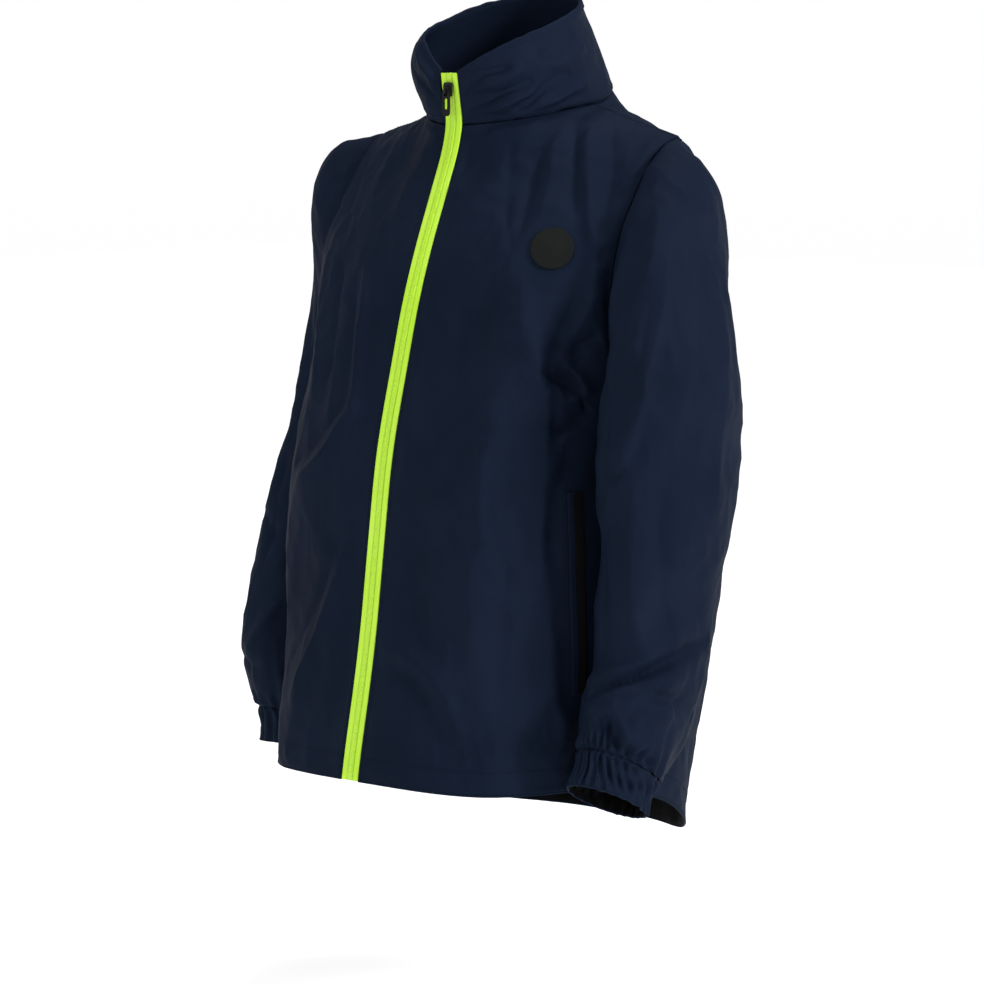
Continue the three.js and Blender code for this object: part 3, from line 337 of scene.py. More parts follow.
SIDE_FOLDS = [
    {"on": "back", "view": "back", "folds": [
        {"line": [(-118, -60), (-96, -110), (-84, -180), (-88, -250)], "width": 9, "rise": -4},
        {"line": [(-128, -110), (-112, -160), (-98, -210), (-70, -250)], "width": 8, "rise": 3.5},
        {"line": [(116, -70), (92, -120), (86, -190), (92, -260)], "width": 9, "rise": -4},
        {"line": [(126, -130), (106, -170), (82, -210), (64, -262)], "width": 8, "rise": 3.5},
        {"line": [(-30, -60), (-8, -90), (24, -96), (52, -70)], "width": 8, "rise": -2.5},
        {"line": [(-44, -110), (-10, -134), (30, -136), (60, -112)], "width": 10, "rise": -2.5},
        {"line": [(30, -250), (42, -330), (34, -420), (44, -520)], "width": 15, "rise": 4},
        {"line": [(-20, -280), (-34, -360), (-26, -450), (-36, -550)], "width": 13, "rise": -4},
        {"line": [(-104, -300), (-112, -380), (-100, -460), (-106, -540)], "width": 12, "rise": 4},
        {"line": [(104, -330), (112, -400), (104, -470), (110, -540)], "width": 10, "rise": 3},
        {"line": [(64, -300), (78, -380), (70, -440), (76, -500)], "width": 9, "rise": -3},
    ]},
    {"on": "back", "view": "left", "folds": [
        {"line": [(40, -300), (62, -370), (54, -450), (66, -530)], "width": 10, "rise": -3.5},
    ]},
    {"on": "back", "view": "right", "folds": [
        {"line": [(44, -280), (70, -360), (58, -440), (70, -520)], "width": 10, "rise": -3.5},
    ]},
    {"on": "front_right", "view": "right", "folds": [
        {"line": [(-60, -250), (-76, -330), (-66, -400), (-78, -480)], "width": 10, "rise": -3},
    ]},
    {"on": "sleeve_left", "view": "back", "folds": [
        {"line": [(180, -120), (196, -190), (200, -260), (190, -310)], "width": 11, "rise": -3.5},
        {"line": [(214, -290), (196, -316), (178, -330), (160, -350)], "width": 7, "rise": -4},
        {"line": [(216, -270), (196, -294), (176, -306), (160, -320)], "width": 8, "rise": 3.5},
        {"line": [(214, -400), (198, -420), (180, -432), (164, -440)], "width": 7, "rise": -3.5},
    ]},
    {"on": "sleeve_right", "view": "back", "folds": [
        {"line": [(-184, -100), (-198, -180), (-204, -250), (-194, -310)], "width": 11, "rise": -3.5},
        {"line": [(-220, -300), (-200, -330), (-178, -342), (-162, -356)], "width": 7, "rise": -4},
        {"line": [(-218, -280), (-200, -306), (-180, -320), (-162, -330)], "width": 8, "rise": 3.5},
    ]},
    {"on": "sleeve_right", "view": "right", "folds": [
        {"line": [(40, -110), (30, -180), (22, -240), (10, -300)], "width": 12, "rise": -3.5},
        {"line": [(-10, -120), (-20, -190), (-34, -250), (-52, -290)], "width": 10, "rise": 3},
        {"line": [(44, -330), (14, -350), (-24, -352), (-60, -334)], "width": 7, "rise": -4},
        {"line": [(38, -346), (12, -368), (-26, -372), (-64, -354)], "width": 9, "rise": 3.5},
        {"line": [(10, -420), (-20, -432), (-52, -430), (-84, -412)], "width": 7, "rise": -3.5},
    ]},
    {"on": "sleeve_right", "view": "front", "folds": [
        {"line": [(-216, -440), (-198, -452), (-180, -452), (-164, -440)], "width": 6, "rise": -3},
        {"line": [(-222, -330), (-204, -346), (-184, -350), (-166, -342)], "width": 7, "rise": -3.5},
    ]},
]
VIEWS = {
    "back": {"from": (0, 1, 0), "right": (1, 0, 0)},
    "front": {"from": (0, -1, 0), "right": (1, 0, 0)},
    "left": {"from": (1, 0, 0), "right": (0, 1, 0)},
    "right": {"from": (-1, 0, 0), "right": (0, 1, 0)},
}
SEAM_CALM = (1, 9)
PUCKER = {"reach": 6, "rise": 1.1, "scale": (0.13, 0.13, 0.13)}
# Pieces that lie on a panel, and how far around them in millimetres the panel stays on its form
LAID_ON = {
    "front_left": ("pocket_welt_left", "pocket_zip_left", "chest_patch"),
    "front_right": ("pocket_welt_right", "pocket_zip_right"),
    "back": ("pocket_welt_left", "pocket_zip_left", "pocket_welt_right", "pocket_zip_right"),
}
LAID_CALM = (3, 20)
# Hanging waves, then dents with sharp crests; scale is in waves a millimetre
CRUMPLES = [
    {"scale": (0.024, 0.024, 0.007), "rise": 3.4, "crest": False},
    {"scale": (0.030, 0.030, 0.016), "rise": 2.2, "crest": True},
    {"scale": (0.060, 0.060, 0.045), "rise": 0.9, "crest": True},
]
# Pleats that the elastic draws at the end of a sleeve: how many go round, and how far up they fade
PLEATS = {"count": 22, "rise": 2.2, "reach": 16, "uneven": 0.045, "drift": 3.4}
CUFF_GATHERS = {"rise": 1.6, "dents": 1.7, "scale": (0.08, 0.08, 0.03)}
# How much of the crumples a piece takes
SMALLER = {"collar_outer": 0.6, "front_right": 0.8}


def photo_ray(px, py):
    """The line of sight through a place in the photograph."""
    eye, right, up, back = camera_axes()
    across = (px - PHOTO_SIDE / 2) / CAMERA["focal_px"]
    rise = (PHOTO_SIDE / 2 - py) / CAMERA["focal_px"]
    return eye, (right * across + up * rise - back).normalized()


def side_ray(view, across, height):
    """The line of sight through a place in a plain view from one side."""
    look = VIEWS[view]
    start = Vector(look["from"]) + Vector(look["right"]) * across * MM + Vector((0, 0, height * MM))
    return start, -Vector(look["from"])


def folds_of(name):
    """The folds of one piece, each with the view in which its line is given."""
    folds = [{"view": "photo", **fold} for fold in PHOTO_FOLDS.get(name, [])]
    for group in SIDE_FOLDS:
        if group["on"] == name:
            folds.extend({"view": group["view"], **fold} for fold in group["folds"])
    return folds


def fold_line(tree, fold):
    """A fold's line on the surface. A place just off the surface's outline is left out."""
    places = []
    for a, b in fold["line"]:
        start, direction = photo_ray(a, b) if fold["view"] == "photo" else side_ray(fold["view"], a, b)
        hit = tree.ray_cast(start, direction)[0]
        if hit is not None:
            places.append(hit)
    if len(places) < 3:
        print("fold off its piece:", fold["view"], fold["line"][0])
        return None
    return curve_through(places, 8)


def noise_heights(points, scale, rise, seed, crest=False):
    """Soft uneven heights. A crest turns them into dents between sharp ridges."""
    at = points / MM * np.array(scale) + seed
    heights = np.array([noise.noise(p) for p in at])
    if crest:
        heights = 0.5 - 2 * np.abs(heights)
    return rise * MM * heights


def pleat_wave(points, cuff):
    """1 on the crest of a pleat and -1 in its trough, the pleats' own drift, and the top ring of the cuff."""
    ring = np.array([tuple(v.co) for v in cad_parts[cuff].data.vertices])
    top = ring[ring[:, 2] > np.quantile(ring[:, 2], 0.7)]
    middle = (top.min(0) + top.max(0)) / 2
    aside = points - middle
    turn = np.arctan2(aside[:, 1], aside[:, 0])
    drift = noise_heights(points, [PLEATS["uneven"]] * 3, 1, 3.1) / MM
    return np.cos(PLEATS["count"] * turn + PLEATS["drift"] * drift), drift, top


def pleats(points, cuff):
    """Heights of the pleats that run up a sleeve from its cuff's edge."""
    wave, drift, top = pleat_wave(points, cuff)
    reach = PLEATS["reach"] * MM * (1 + 1.1 * drift)
    away = nearest_distances(points, top)
    return PLEATS["rise"] * MM * wave * np.exp(-((away / np.maximum(reach, 4 * MM)) ** 2))


def gathered(name, points, faces):
    """A cuff drawn in by its elastic: pleats all along it, with uneven dents between them."""
    normals = normals_of(points, faces)
    wave = pleat_wave(points, name)[0]
    dents = noise_heights(points, CUFF_GATHERS["scale"], CUFF_GATHERS["dents"], 5.9, crest=True)
    edge = points[sorted({i for pair in open_edges(faces) for i in pair})]
    high = edge[:, 2] > edge[:, 2].mean()
    from_seam = nearest_distances(points, edge[high]) / MM
    from_end = nearest_distances(points, edge[~high]) / MM
    heights = CUFF_GATHERS["rise"] * MM * wave * (0.45 + 0.55 * smoothstep(from_end, 0, 8)) + dents
    return points + normals * (heights * smoothstep(from_seam, 0, 3))[:, None]


def calm_by_pieces(name, points):
    """0 on and beside the pieces that lie on a panel, rising to 1 away from them."""
    laid = LAID_ON.get(name, ())
    if not laid:
        return 1.0
    places = [v.co.copy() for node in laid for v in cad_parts[node].data.vertices]
    return smoothstep(nearest_distances(points, places) / MM, *LAID_CALM)


def creased(name, points, faces):
    """The surface with its folds, its crumples and the puckers along its seams."""
    normals = normals_of(points, faces)
    away = from_edge(points, faces) / MM
    tree = BVHTree.FromPolygons([tuple(p) for p in points], faces)
    heights = np.zeros(len(points))
    calm = smoothstep(away, *SEAM_CALM)
    for fold in folds_of(name):
        line = fold_line(tree, fold)
        if line is not None:
            heights += fold_heights(points, normals, line, fold)
    for k, crumple in enumerate(CRUMPLES):
        rise = crumple["rise"] * SMALLER.get(name, 1)
        heights += noise_heights(points, crumple["scale"], rise, 7.3 * k, crumple["crest"])
    heights *= calm * calm_by_pieces(name, points)
    if name.startswith("sleeve"):
        heights += pleats(points, name.replace("sleeve", "cuff")) * smoothstep(away, 0, 2)
    pucker = noise_heights(points, PUCKER["scale"], PUCKER["rise"], 31.7)
    heights += pucker * np.exp(-away / PUCKER["reach"]) * smoothstep(away, 0, 2)
    return points + normals * heights[:, None]


# Edges and stitching
def edge_chains(points, faces):
    """The open edge's stretches between its corners, as point numbers with the surface on the left."""
    after = dict(open_edges(faces))
    before = {b: a for a, b in after.items()}

    def is_corner(i):
        came, goes = points[i] - points[before[i]], points[after[i]] - points[i]
        turn = came @ goes / max(np.linalg.norm(came) * np.linalg.norm(goes), 1e-12)
        return turn < math.cos(CORNER)

    corners = [i for i in after if is_corner(i)]
    chains, used = [], set()
    for start in [*corners, *after]:
        if start in used:
            continue
        chain = [start]
        used.add(start)
        here = after[start]
        while here not in used and here not in corners:
            chain.append(here)
            used.add(here)
            here = after[here]
        chains.append([*chain, here])
    return chains


def edge_by(skin, probe):
    """The stretch of a skin's open edge that passes nearest to a place in millimetres."""
    points, chains = skin["points"], skin["chains"]
    place = np.array(probe) * MM
    long_chains = [chain for chain in chains if len(chain) > 3]
    return min(long_chains, key=lambda chain: np.linalg.norm(points[chain] - place, axis=1).min())


def evenly(line, pitch):
    """Points at even distances along a line."""
    run = np.concatenate([[0], np.cumsum(np.linalg.norm(np.diff(line, axis=0), axis=1))])
    places = np.arange(pitch / 2, run[-1], pitch)
    return np.stack([np.interp(places, run, line[:, k]) for k in range(3)], 1)


def inset_line(skin, chain, distance):
    """A line that runs beside an open edge, on the surface."""
    points, normals = skin["points"], skin["normals"]
    line = points[chain]
    ahead = np.gradient(line, axis=0)
    inward = np.cross(normals[chain], ahead)
    inward /= np.maximum(np.linalg.norm(inward, axis=1, keepdims=True), 1e-12)
    found = [skin["tree"].find_nearest(Vector(p))[0] for p in line + inward * distance * MM]
    return np.array([tuple(p) for p in found])


STITCH = {"pitch": 3.4, "length": 2.6, "radius": 0.3, "proud": 0.12}
# Rings of a short rounded bar: the share of its length, and its radius there as a share of the full one
BAR_RINGS = ((0, 0.35), (0.18, 0.9), (0.82, 0.9), (1, 0.35))


def capsule(start, end, radius, out, sides=6):
    """A short rounded bar, as points and faces."""
    ahead = (end - start) / max(np.linalg.norm(end - start), 1e-12)
    up = out - ahead * (out @ ahead)
    up /= max(np.linalg.norm(up), 1e-12)
    side = np.cross(ahead, up)
    rings, faces = [], []
    for share, swell in BAR_RINGS:
        centre = start + (end - start) * share
        for k in range(sides):
            turn = 2 * math.pi * k / sides
            rings.append(centre + radius * swell * (up * math.cos(turn) + side * math.sin(turn)))
    for j in range(3):
        for k in range(sides):
            n = (k + 1) % sides
            faces.append((j * sides + k, (j + 1) * sides + k, (j + 1) * sides + n, j * sides + n))
    faces.append(tuple(range(sides)))
    faces.append(tuple(reversed(range(3 * sides, 4 * sides))))
    return rings, faces


class Gather:
    """Points and faces of many small forms that make one piece."""

    def __init__(self):
        self.points = []
        self.faces = []

    def add(self, points, faces):
        start = len(self.points)
        self.points.extend(points)
        self.faces.extend(tuple(i + start for i in f) for f in faces)


def stitch_row(gather, skin, line):
    """Lockstitches along a line on a surface."""
    places = evenly(line, STITCH["pitch"] * MM)
    ahead = np.gradient(places, axis=0)
    for place, direction in zip(places, ahead):
        hit, normal, _, _ = skin["tree"].find_nearest(Vector(place))
        out = np.array(normal)
        middle = np.array(hit) + out * STITCH["proud"] * MM
        half = direction / max(np.linalg.norm(direction), 1e-12) * STITCH["length"] / 2 * MM
        gather.add(*capsule(middle - half, middle + half, STITCH["radius"] * MM, out))


def tube(name, line, radius, out, sides=10):
    """A round roll of shell cloth along a line."""
    ahead = np.gradient(line, axis=0)
    ahead /= np.maximum(np.linalg.norm(ahead, axis=1, keepdims=True), 1e-12)
    up = out - ahead * np.sum(out * ahead, axis=1, keepdims=True)
    up /= np.maximum(np.linalg.norm(up, axis=1, keepdims=True), 1e-12)
    side = np.cross(ahead, up)
    points, faces = [], []
    for centre, u, s in zip(line, up, side):
        for k in range(sides):
            turn = 2 * math.pi * k / sides
            points.append(centre + radius * (u * math.cos(turn) + s * math.sin(turn)))
    for j in range(len(line) - 1):
        for k in range(sides):
            n = (k + 1) % sides
            faces.append((j * sides + k, j * sides + n, (j + 1) * sides + n, (j + 1) * sides + k))
    faces.append(tuple(reversed(range(sides))))
    faces.append(tuple(range((len(line) - 1) * sides, len(line) * sides)))
    roll = new_piece(name, points, faces, SHELL)


# Materials: noise in waves a metre, and bumps as (strength, height in millimetres)
RAMP_STOPS = (0.3, 0.7)
TONE_WAVES, GRAIN_WAVES, CRUMPLE_WAVES, SCUFF_WAVES = 14, 900, 55, 600
WEAVE_BUMP, GRAIN_BUMP, CRUMPLE_BUMP, SCUFF_BUMP = (0.25, 0.15), (0.2, 0.1), (0.25, 1.2), (0.15, 0.05)
CLOTH_GLOSS = 0.025


def node_tree(name):
    material = bpy.data.materials.new(name)
    material.use_nodes = True
    return material, material.node_tree.nodes, material.node_tree.links


def noise_node(nodes, links, scale, detail=4.0):
    """Noise in the object's own space, in waves a metre."""
    place = nodes.new("ShaderNodeTexCoord")
    texture = nodes.new("ShaderNodeTexNoise")
    texture.inputs["Scale"].default_value = scale
    texture.inputs["Detail"].default_value = detail
    links.new(place.outputs["Object"], texture.inputs["Vector"])
    return texture


def ramp_between(nodes, links, source, low, high):
    """A colour that goes from low to high over the middle range of a source."""
    ramp = nodes.new("ShaderNodeValToRGB")
    ramp.color_ramp.elements[0].position = RAMP_STOPS[0]
    ramp.color_ramp.elements[1].position = RAMP_STOPS[1]
    ramp.color_ramp.elements[0].color = (*low, 1)
    ramp.color_ramp.elements[1].color = (*high, 1)
    links.new(source, ramp.inputs["Fac"])
    return ramp.outputs["Color"]


def weave_height(nodes, links, threads):
    """A plain weave's height from three crossed sets of fine bands."""
    total = None
    for axis in ("X", "Y", "Z"):
        place = nodes.new("ShaderNodeTexCoord")
        wave = nodes.new("ShaderNodeTexWave")
        wave.bands_direction = axis
        wave.inputs["Scale"].default_value = threads
        wave.inputs["Distortion"].default_value = 1.2
        wave.inputs["Detail"].default_value = 1.0
        links.new(place.outputs["Object"], wave.inputs["Vector"])
        if total is None:
            total = wave.outputs["Fac"]
            continue
        both = nodes.new("ShaderNodeMath")
        both.operation = "ADD"
        links.new(total, both.inputs[0])
        links.new(wave.outputs["Fac"], both.inputs[1])
        total = both.outputs[0]
    return total


def bumped(nodes, links, heights):
    """A normal made from layers of a height and its (strength, millimetres)."""
    normal = None
    for height, (strength, depth) in heights:
        bump = nodes.new("ShaderNodeBump")
        bump.inputs["Strength"].default_value = strength
        bump.inputs["Distance"].default_value = depth * MM
        links.new(height, bump.inputs["Height"])
        if normal is not None:
            links.new(normal, bump.inputs["Normal"])
        normal = bump.outputs["Normal"]
    return normal


def cloth_material(name, dark, light, roughness, threads=420):
    """Matte woven cloth: colour that drifts a little, a fine weave and faint crumples."""
    material, nodes, links = node_tree(name)
    shader = nodes["Principled BSDF"]
    drift = noise_node(nodes, links, TONE_WAVES)
    links.new(ramp_between(nodes, links, drift.outputs["Fac"], dark, light), shader.inputs["Base Color"])
    grain = noise_node(nodes, links, GRAIN_WAVES, 2)
    rough = nodes.new("ShaderNodeMapRange")
    rough.inputs["To Min"].default_value = roughness - 0.06
    rough.inputs["To Max"].default_value = roughness + 0.06
    links.new(grain.outputs["Fac"], rough.inputs["Value"])
    links.new(rough.outputs["Result"], shader.inputs["Roughness"])
    shader.inputs["Specular IOR Level"].default_value = CLOTH_GLOSS
    crumples = noise_node(nodes, links, CRUMPLE_WAVES, 3)
    layers = [
        (weave_height(nodes, links, threads), WEAVE_BUMP),
        (grain.outputs["Fac"], GRAIN_BUMP),
        (crumples.outputs["Fac"], CRUMPLE_BUMP),
    ]
    links.new(bumped(nodes, links, layers), shader.inputs["Normal"])
    return material


def plastic_material(name, colour, roughness, metallic=0.0, gloss=0.5):
    """Moulded plastic or painted metal with fine scuffs."""
    material, nodes, links = node_tree(name)
    shader = nodes["Principled BSDF"]
    scuffs = noise_node(nodes, links, SCUFF_WAVES, 5)
    low = tuple(0.8 * c for c in colour)
    links.new(ramp_between(nodes, links, scuffs.outputs["Fac"], low, colour), shader.inputs["Base Color"])
    rough = nodes.new("ShaderNodeMapRange")
    rough.inputs["To Min"].default_value = roughness - 0.08
    rough.inputs["To Max"].default_value = roughness + 0.08
    links.new(scuffs.outputs["Fac"], rough.inputs["Value"])
    links.new(rough.outputs["Result"], shader.inputs["Roughness"])
    shader.inputs["Metallic"].default_value = metallic
    shader.inputs["Specular IOR Level"].default_value = gloss
    links.new(bumped(nodes, links, [(scuffs.outputs["Fac"], SCUFF_BUMP)]), shader.inputs["Normal"])
    return material


SHELL = cloth_material("shell_cloth", (0.0052, 0.0095, 0.0212), (0.0071, 0.0122, 0.0264), 0.66)
# Near black cloth for the inner faces: painted shade inside the coat, not a coating of its own
INSIDE_PAINTED_SHADE = cloth_material("inside_painted_shade", (0.0016, 0.0017, 0.0021), (0.0024, 0.0026, 0.0032), 0.7)
TAPE = cloth_material("neon_tape", (0.47, 0.80, 0.045), (0.56, 0.88, 0.09), 0.75, threads=260)
COIL = plastic_material("neon_coil", (0.50, 0.84, 0.03), 0.45)
DARK_TAPE = cloth_material("dark_tape", (0.005, 0.005, 0.006), (0.009, 0.009, 0.01), 0.5)
PATCH = cloth_material("patch_cloth", (0.0085, 0.0096, 0.0094), (0.0115, 0.013, 0.0125), 0.7)
THREAD = cloth_material("thread", (0.0064, 0.0112, 0.0240), (0.0088, 0.015, 0.031), 0.6)
METAL = plastic_material("slider_metal", (0.007, 0.007, 0.008), 0.4, metallic=0.3, gloss=0.3)
RUBBER = plastic_material("pull_rubber", (0.003, 0.003, 0.0035), 0.6, gloss=0.18)

# Cloth pieces: the node, its looks, how finely it is divided and how thick its shell is in millimetres
CLOTH = {
    "front_left": {"material": SHELL, "slot": "shell_cloth", "levels": 3, "wall": 1.2, "shape": creased},
    "front_right": {"material": SHELL, "slot": "shell_cloth", "levels": 3, "wall": 1.2, "shape": creased},
    "back": {"material": SHELL, "slot": "shell_cloth", "levels": 3, "wall": 1.2, "shape": creased},
    "sleeve_left": {"material": SHELL, "slot": "shell_cloth", "levels": 3, "wall": 1.2, "shape": creased},
    "sleeve_right": {"material": SHELL, "slot": "shell_cloth", "levels": 3, "wall": 1.2, "shape": creased},
    "collar_outer": {"material": SHELL, "slot": "shell_cloth", "levels": 3, "wall": 1.2, "shape": creased},
    "collar_inner": {"material": SHELL, "slot": "shell_cloth", "levels": 2, "wall": 1.5},
    "cuff_left": {"material": SHELL, "slot": "shell_cloth", "levels": 2, "wall": 1.2, "shape": gathered},
    "cuff_right": {"material": SHELL, "slot": "shell_cloth", "levels": 2, "wall": 1.2, "shape": gathered},
    "zip_coil": {"material": COIL, "slot": "neon_coil", "levels": 2, "wall": 1.5},
    "zip_tape_left": {"material": TAPE, "slot": "neon_tape", "levels": 2, "wall": 1.0},
    "zip_tape_right": {"material": TAPE, "slot": "neon_tape", "levels": 2, "wall": 1.0},
    "pocket_welt_left": {"material": SHELL, "slot": "shell_cloth", "levels": 2, "wall": 1.3},
    "pocket_welt_right": {"material": SHELL, "slot": "shell_cloth", "levels": 2, "wall": 1.3},
    "pocket_zip_left": {"material": DARK_TAPE, "slot": "dark_tape", "levels": 2, "wall": 0.8},
    "pocket_zip_right": {"material": DARK_TAPE, "slot": "dark_tape", "levels": 2, "wall": 0.8},
    "chest_patch": {"material": PATCH, "slot": "patch_cloth", "levels": 2, "wall": 0.8},
}


# The outer surface of each cloth piece, as made
SKINS = {}


def make_cloth(name, spec):
    """One cloth piece on its node's form."""
    points, faces = refined(outer_skin(name), spec["levels"])
    if "shape" in spec:
        points = spec["shape"](name, points, faces)
    SKINS[name] = {
        "points": points,
        "faces": faces,
        "normals": normals_of(points, faces),
        "chains": edge_chains(points, faces),
        "tree": BVHTree.FromPolygons([tuple(p) for p in points], faces),
    }
    walls, all_faces = shell(points, faces, spec["wall"] * MM)
    piece = new_piece("cloth_" + name, walls, all_faces, spec["material"])
    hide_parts(name)
    # The lining side of each shell piece takes the near black cloth, which paints the shade inside the coat
    if spec["material"] is SHELL and name != "collar_inner":
        piece.data.materials.append(INSIDE_PAINTED_SHADE)
        for polygon in piece.data.polygons[len(faces):2 * len(faces)]:
            polygon.material_index = 1


def front_profile():
    """The zip's centre line, from the hem to the top of the collar."""
    points = SKINS["zip_coil"]["points"]
    middle = points[np.abs(points[:, 0]) < 0.4 * MM]
    return middle[np.argsort(middle[:, 2])]


def make_coil():
    """The closed coil: two rows of slanted nylon loops that mesh along the centre line."""
    line = front_profile()
    places = evenly(line, COIL_LOOP["pitch"] * MM)
    ahead = np.gradient(places, axis=0)
    ahead /= np.linalg.norm(ahead, axis=1, keepdims=True)
    gather = Gather()
    across = np.array([1.0, 0, 0])
    for place, up in zip(places, ahead):
        out = np.cross(up, across)
        out *= -np.sign(out[1])
        for side in (-1, 1):
            middle = place + out * COIL_LOOP["sink"] * -MM + up * (COIL_LOOP["pitch"] / 4) * side * MM
            outer = middle + across * side * COIL_LOOP["half"] * MM - up * COIL_LOOP["slant"] * MM
            inner = middle - across * side * COIL_LOOP["mesh"] * MM + up * COIL_LOOP["slant"] * MM
            gather.add(*capsule(outer, inner, COIL_LOOP["radius"] * MM, out))
    piece = new_piece("coil_loops", gather.points, gather.faces, COIL)


COIL_LOOP = {"pitch": 1.5, "half": 2.3, "mesh": 0.5, "slant": 0.3, "radius": 0.46, "sink": 0.1}

# Rows of stitching: the piece, a place on the edge that the row follows, its distance from that edge, and
# a range of z that leaves out other edges
STITCH_ROWS = [
    ("front_left", (9, -150, -260), 2.2, None),
    ("front_right", (-9, -150, -260), 2.2, None),
    ("front_left", (70, -150, -512), 18, None),
    ("front_right", (-70, -150, -512), 18, None),
    ("back", (0, 110, -574), 18, None),
    ("front_left", (148, -50, -120), 2.0, (-222, 10)),
    ("front_right", (-148, -50, -120), 2.0, (-222, 10)),
    ("back", (148, 60, -120), 2.0, (-222, 10)),
    ("back", (-148, 60, -120), 2.0, (-222, 10)),
    ("front_left", (100, 14, -10), 2.0, None),
    ("front_right", (-100, 14, -10), 2.0, None),
    ("collar_outer", (0, 40, 88), 3.0, None),
    ("collar_outer", (0, 40, 0), 2.0, None),
    ("pocket_welt_left", (128, -120, -360), 1.3, None),
    ("pocket_welt_right", (-128, -120, -360), 1.3, None),
    ("cuff_left", (182, -90, -494), 2.5, None),
    ("cuff_right", (-182, -60, -494), 2.5, None),
]
# Rolled edges: name, piece, a place on the edge, the roll's radius, and how deep its middle lies
ROLLS = [
    ("hem_front_left", "front_left", (70, -150, -512), 0.85, 0.6),
    ("hem_front_right", "front_right", (-70, -150, -512), 0.85, 0.6),
    ("hem_back", "back", (0, 110, -574), 0.85, 0.6),
    ("collar_top", "collar_outer", (0, 40, 88), 1.75, 1.72),
    ("cuff_left_end", "cuff_left", (182, -90, -522), 0.85, 0.6),
    ("cuff_right_end", "cuff_right", (-182, -60, -522), 0.85, 0.6),
]


def make_stitching():
    gather = Gather()
    for name, probe, distance, span in STITCH_ROWS:
        skin = SKINS[name]
        line = inset_line(skin, edge_by(skin, probe), distance)
        if span:
            line = line[(line[:, 2] > span[0] * MM) & (line[:, 2] < span[1] * MM)]
        stitch_row(gather, skin, line)
    piece = new_piece("stitching", gather.points, gather.faces, THREAD)


# Seam allowances turned inside: name, piece, a place on its edge, and a range of z that leaves out others
SEAMS = [
    ("seam_collar", "collar_outer", (0, 70, 17), None),
    ("seam_shoulder_left", "back", (111, 14, -13), (-20, 5)),
    ("seam_shoulder_right", "back", (-111, 14, -13), (-20, 5)),
    ("seam_armhole_left", "sleeve_left", (150, 13, -27), None),
    ("seam_armhole_right", "sleeve_right", (-148, -55, -106), None),
    ("seam_side_left", "back", (148, -24, -362), (-515, -232)),
    ("seam_side_right", "back", (-148, -24, -362), (-515, -232)),
    ("seam_zip_left", "front_left", (9, -132, -184), None),
    ("seam_zip_right", "front_right", (-9, -132, -184), None),
    ("seam_cuff_left", "cuff_left", (164, -117, -476), None),
    ("seam_cuff_right", "cuff_right", (-157, -78, -488), None),
]
ALLOWANCE = {"radius": 1.5, "depth": 1.95}


def make_seams():
    """A rolled allowance under each seam, as far down as keeps the seam a fine line."""
    for name, owner, probe, span in SEAMS:
        skin = SKINS[owner]
        chain = edge_by(skin, probe)
        if span:
            chain = [i for i in chain if span[0] * MM < skin["points"][i][2] < span[1] * MM]
        out = skin["normals"][chain]
        line = skin["points"][chain] - out * ALLOWANCE["depth"] * MM
        tube(name, line, ALLOWANCE["radius"] * MM, out, sides=6)


def make_rolls():
    for name, owner, probe, radius, depth in ROLLS:
        skin = SKINS[owner]
        chain = edge_by(skin, probe)
        out = skin["normals"][chain]
        line = skin["points"][chain] - out * depth * MM
        tube(name, line, radius * MM, out)


def dress_hardware():
    """The slider and pull keep their solids, with softened edges and their own finish."""
    for node, material in (("zip_slider", METAL), ("zip_pull", RUBBER)):
        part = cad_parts[node]
        part.data.materials.clear()
        part.data.materials.append(material)
        bevel = part.modifiers.new("softened", "BEVEL")
        bevel.width = 0.25 * MM
        bevel.segments = 2
        bevel.limit_method = "ANGLE"


FLOOR = {"z": -0.72, "half": 9.0}
# Brightness of the studio's walls and ceiling, by the sine of the height of the line of sight
STUDIO = [(0.0, 1.0), (0.14, 0.98), (0.34, 0.14), (1.0, 0.08)]


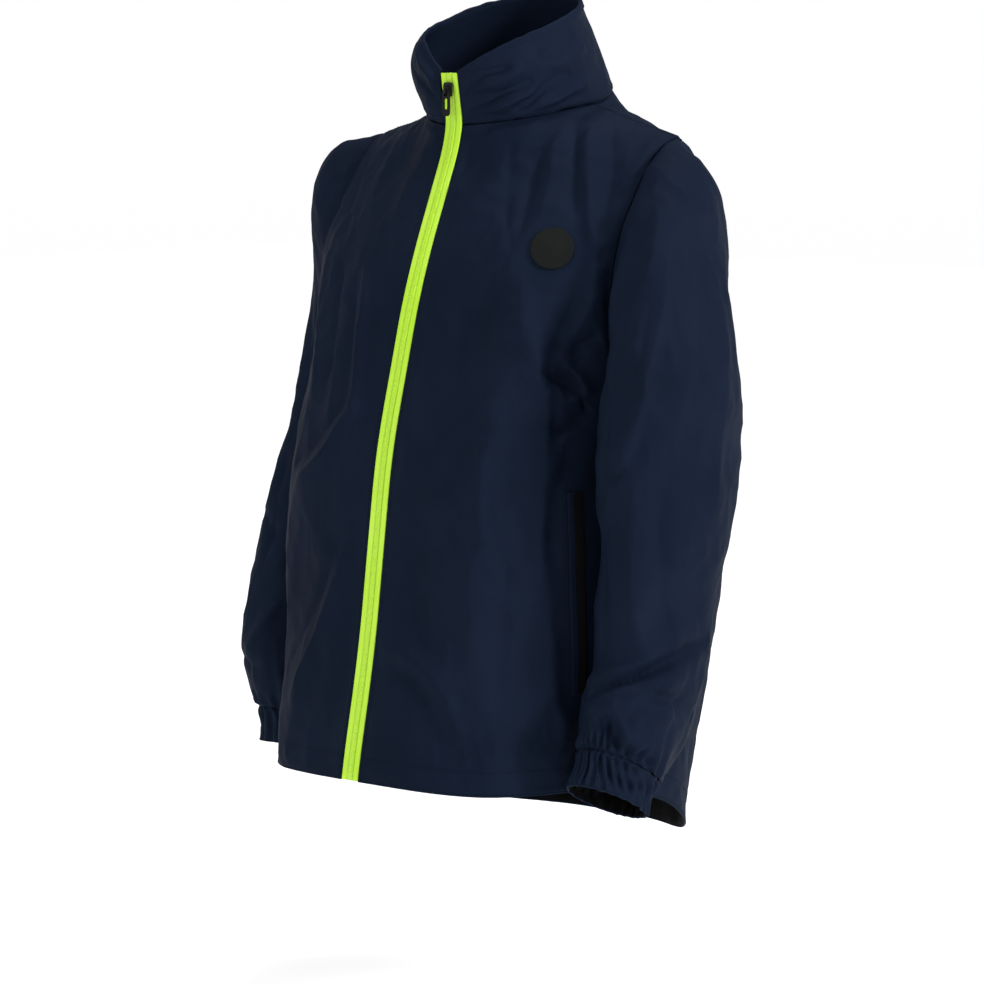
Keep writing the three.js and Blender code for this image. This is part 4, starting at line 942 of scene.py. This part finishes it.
def make_stage():
    """A pale floor that runs to the horizon, in a white studio."""
    pale, nodes, links = node_tree("studio_pale")
    shader = nodes["Principled BSDF"]
    tone = noise_node(nodes, links, 0.8)
    colour = ramp_between(nodes, links, tone.outputs["Fac"], (0.60, 0.60, 0.60), (0.62, 0.62, 0.62))
    links.new(colour, shader.inputs["Base Color"])
    shader.inputs["Roughness"].default_value = 0.9
    shader.inputs["Emission Color"].default_value = (1, 1, 1, 1)
    shader.inputs["Emission Strength"].default_value = 0.62
    half, z = FLOOR["half"], FLOOR["z"]
    mesh = bpy.data.meshes.new("floor")
    corners = [(-half, -half, z), (half, -half, z), (half, half, z), (-half, half, z)]
    mesh.from_pydata(corners, [], [(0, 1, 2, 3)])
    floor = bpy.data.objects.new("floor", mesh)
    bpy.context.scene.collection.objects.link(floor)
    mesh.materials.append(pale)


def make_studio():
    """Light from white walls, a dimmer ceiling and three soft lamps, shown with no colour grading."""
    world = bpy.data.worlds.new("studio")
    world.use_nodes = True
    nodes, links = world.node_tree.nodes, world.node_tree.links
    place = nodes.new("ShaderNodeTexCoord")
    parts = nodes.new("ShaderNodeSeparateXYZ")
    height = nodes.new("ShaderNodeMath")
    height.operation = "ABSOLUTE"
    ramp = nodes.new("ShaderNodeValToRGB")
    stops = ramp.color_ramp.elements
    for k, (share, brightness) in enumerate(STUDIO):
        stop = stops[k] if k < 1 else stops.new(share)
        stop.position = share
        stop.color = (brightness, brightness, brightness, 1)
    stops.remove(stops[-1])
    links.new(place.outputs["Generated"], parts.inputs["Vector"])
    links.new(parts.outputs["Z"], height.inputs[0])
    links.new(height.outputs["Value"], ramp.inputs["Fac"])
    links.new(ramp.outputs["Color"], nodes["Background"].inputs["Color"])
    bpy.context.scene.world = world
    bpy.context.scene.view_settings.view_transform = "Standard"
    for name, lamp in LAMPS.items():
        area_light(name, **lamp)


LAMPS = {
    "key": {"place": (3.0, 0.3, 1.2), "target": (0.05, 0, -0.25), "size": 0.7, "power": 78},
    "fill": {"place": (-0.6, -3.2, 1.0), "target": (0, 0, -0.3), "size": 0.9, "power": 9},
    "top": {"place": (0.1, 0.1, 3.0), "target": (0, 0, -0.4), "size": 1.0, "power": 40},
}


def area_light(name, place, target, size, power):
    data = bpy.data.lights.new(name, "AREA")
    data.shape = "DISK"
    data.size = size
    data.energy = power
    light = bpy.data.objects.new(name, data)
    bpy.context.scene.collection.objects.link(light)
    light.location = place
    light.rotation_mode = "QUATERNION"
    light.rotation_quaternion = (Vector(target) - Vector(place)).to_track_quat("-Z", "Y")


make_camera()
make_stage()
make_studio()
for cloth_name, cloth_spec in CLOTH.items():
    make_cloth(cloth_name, cloth_spec)
make_coil()
make_stitching()
make_rolls()
make_seams()
dress_hardware()
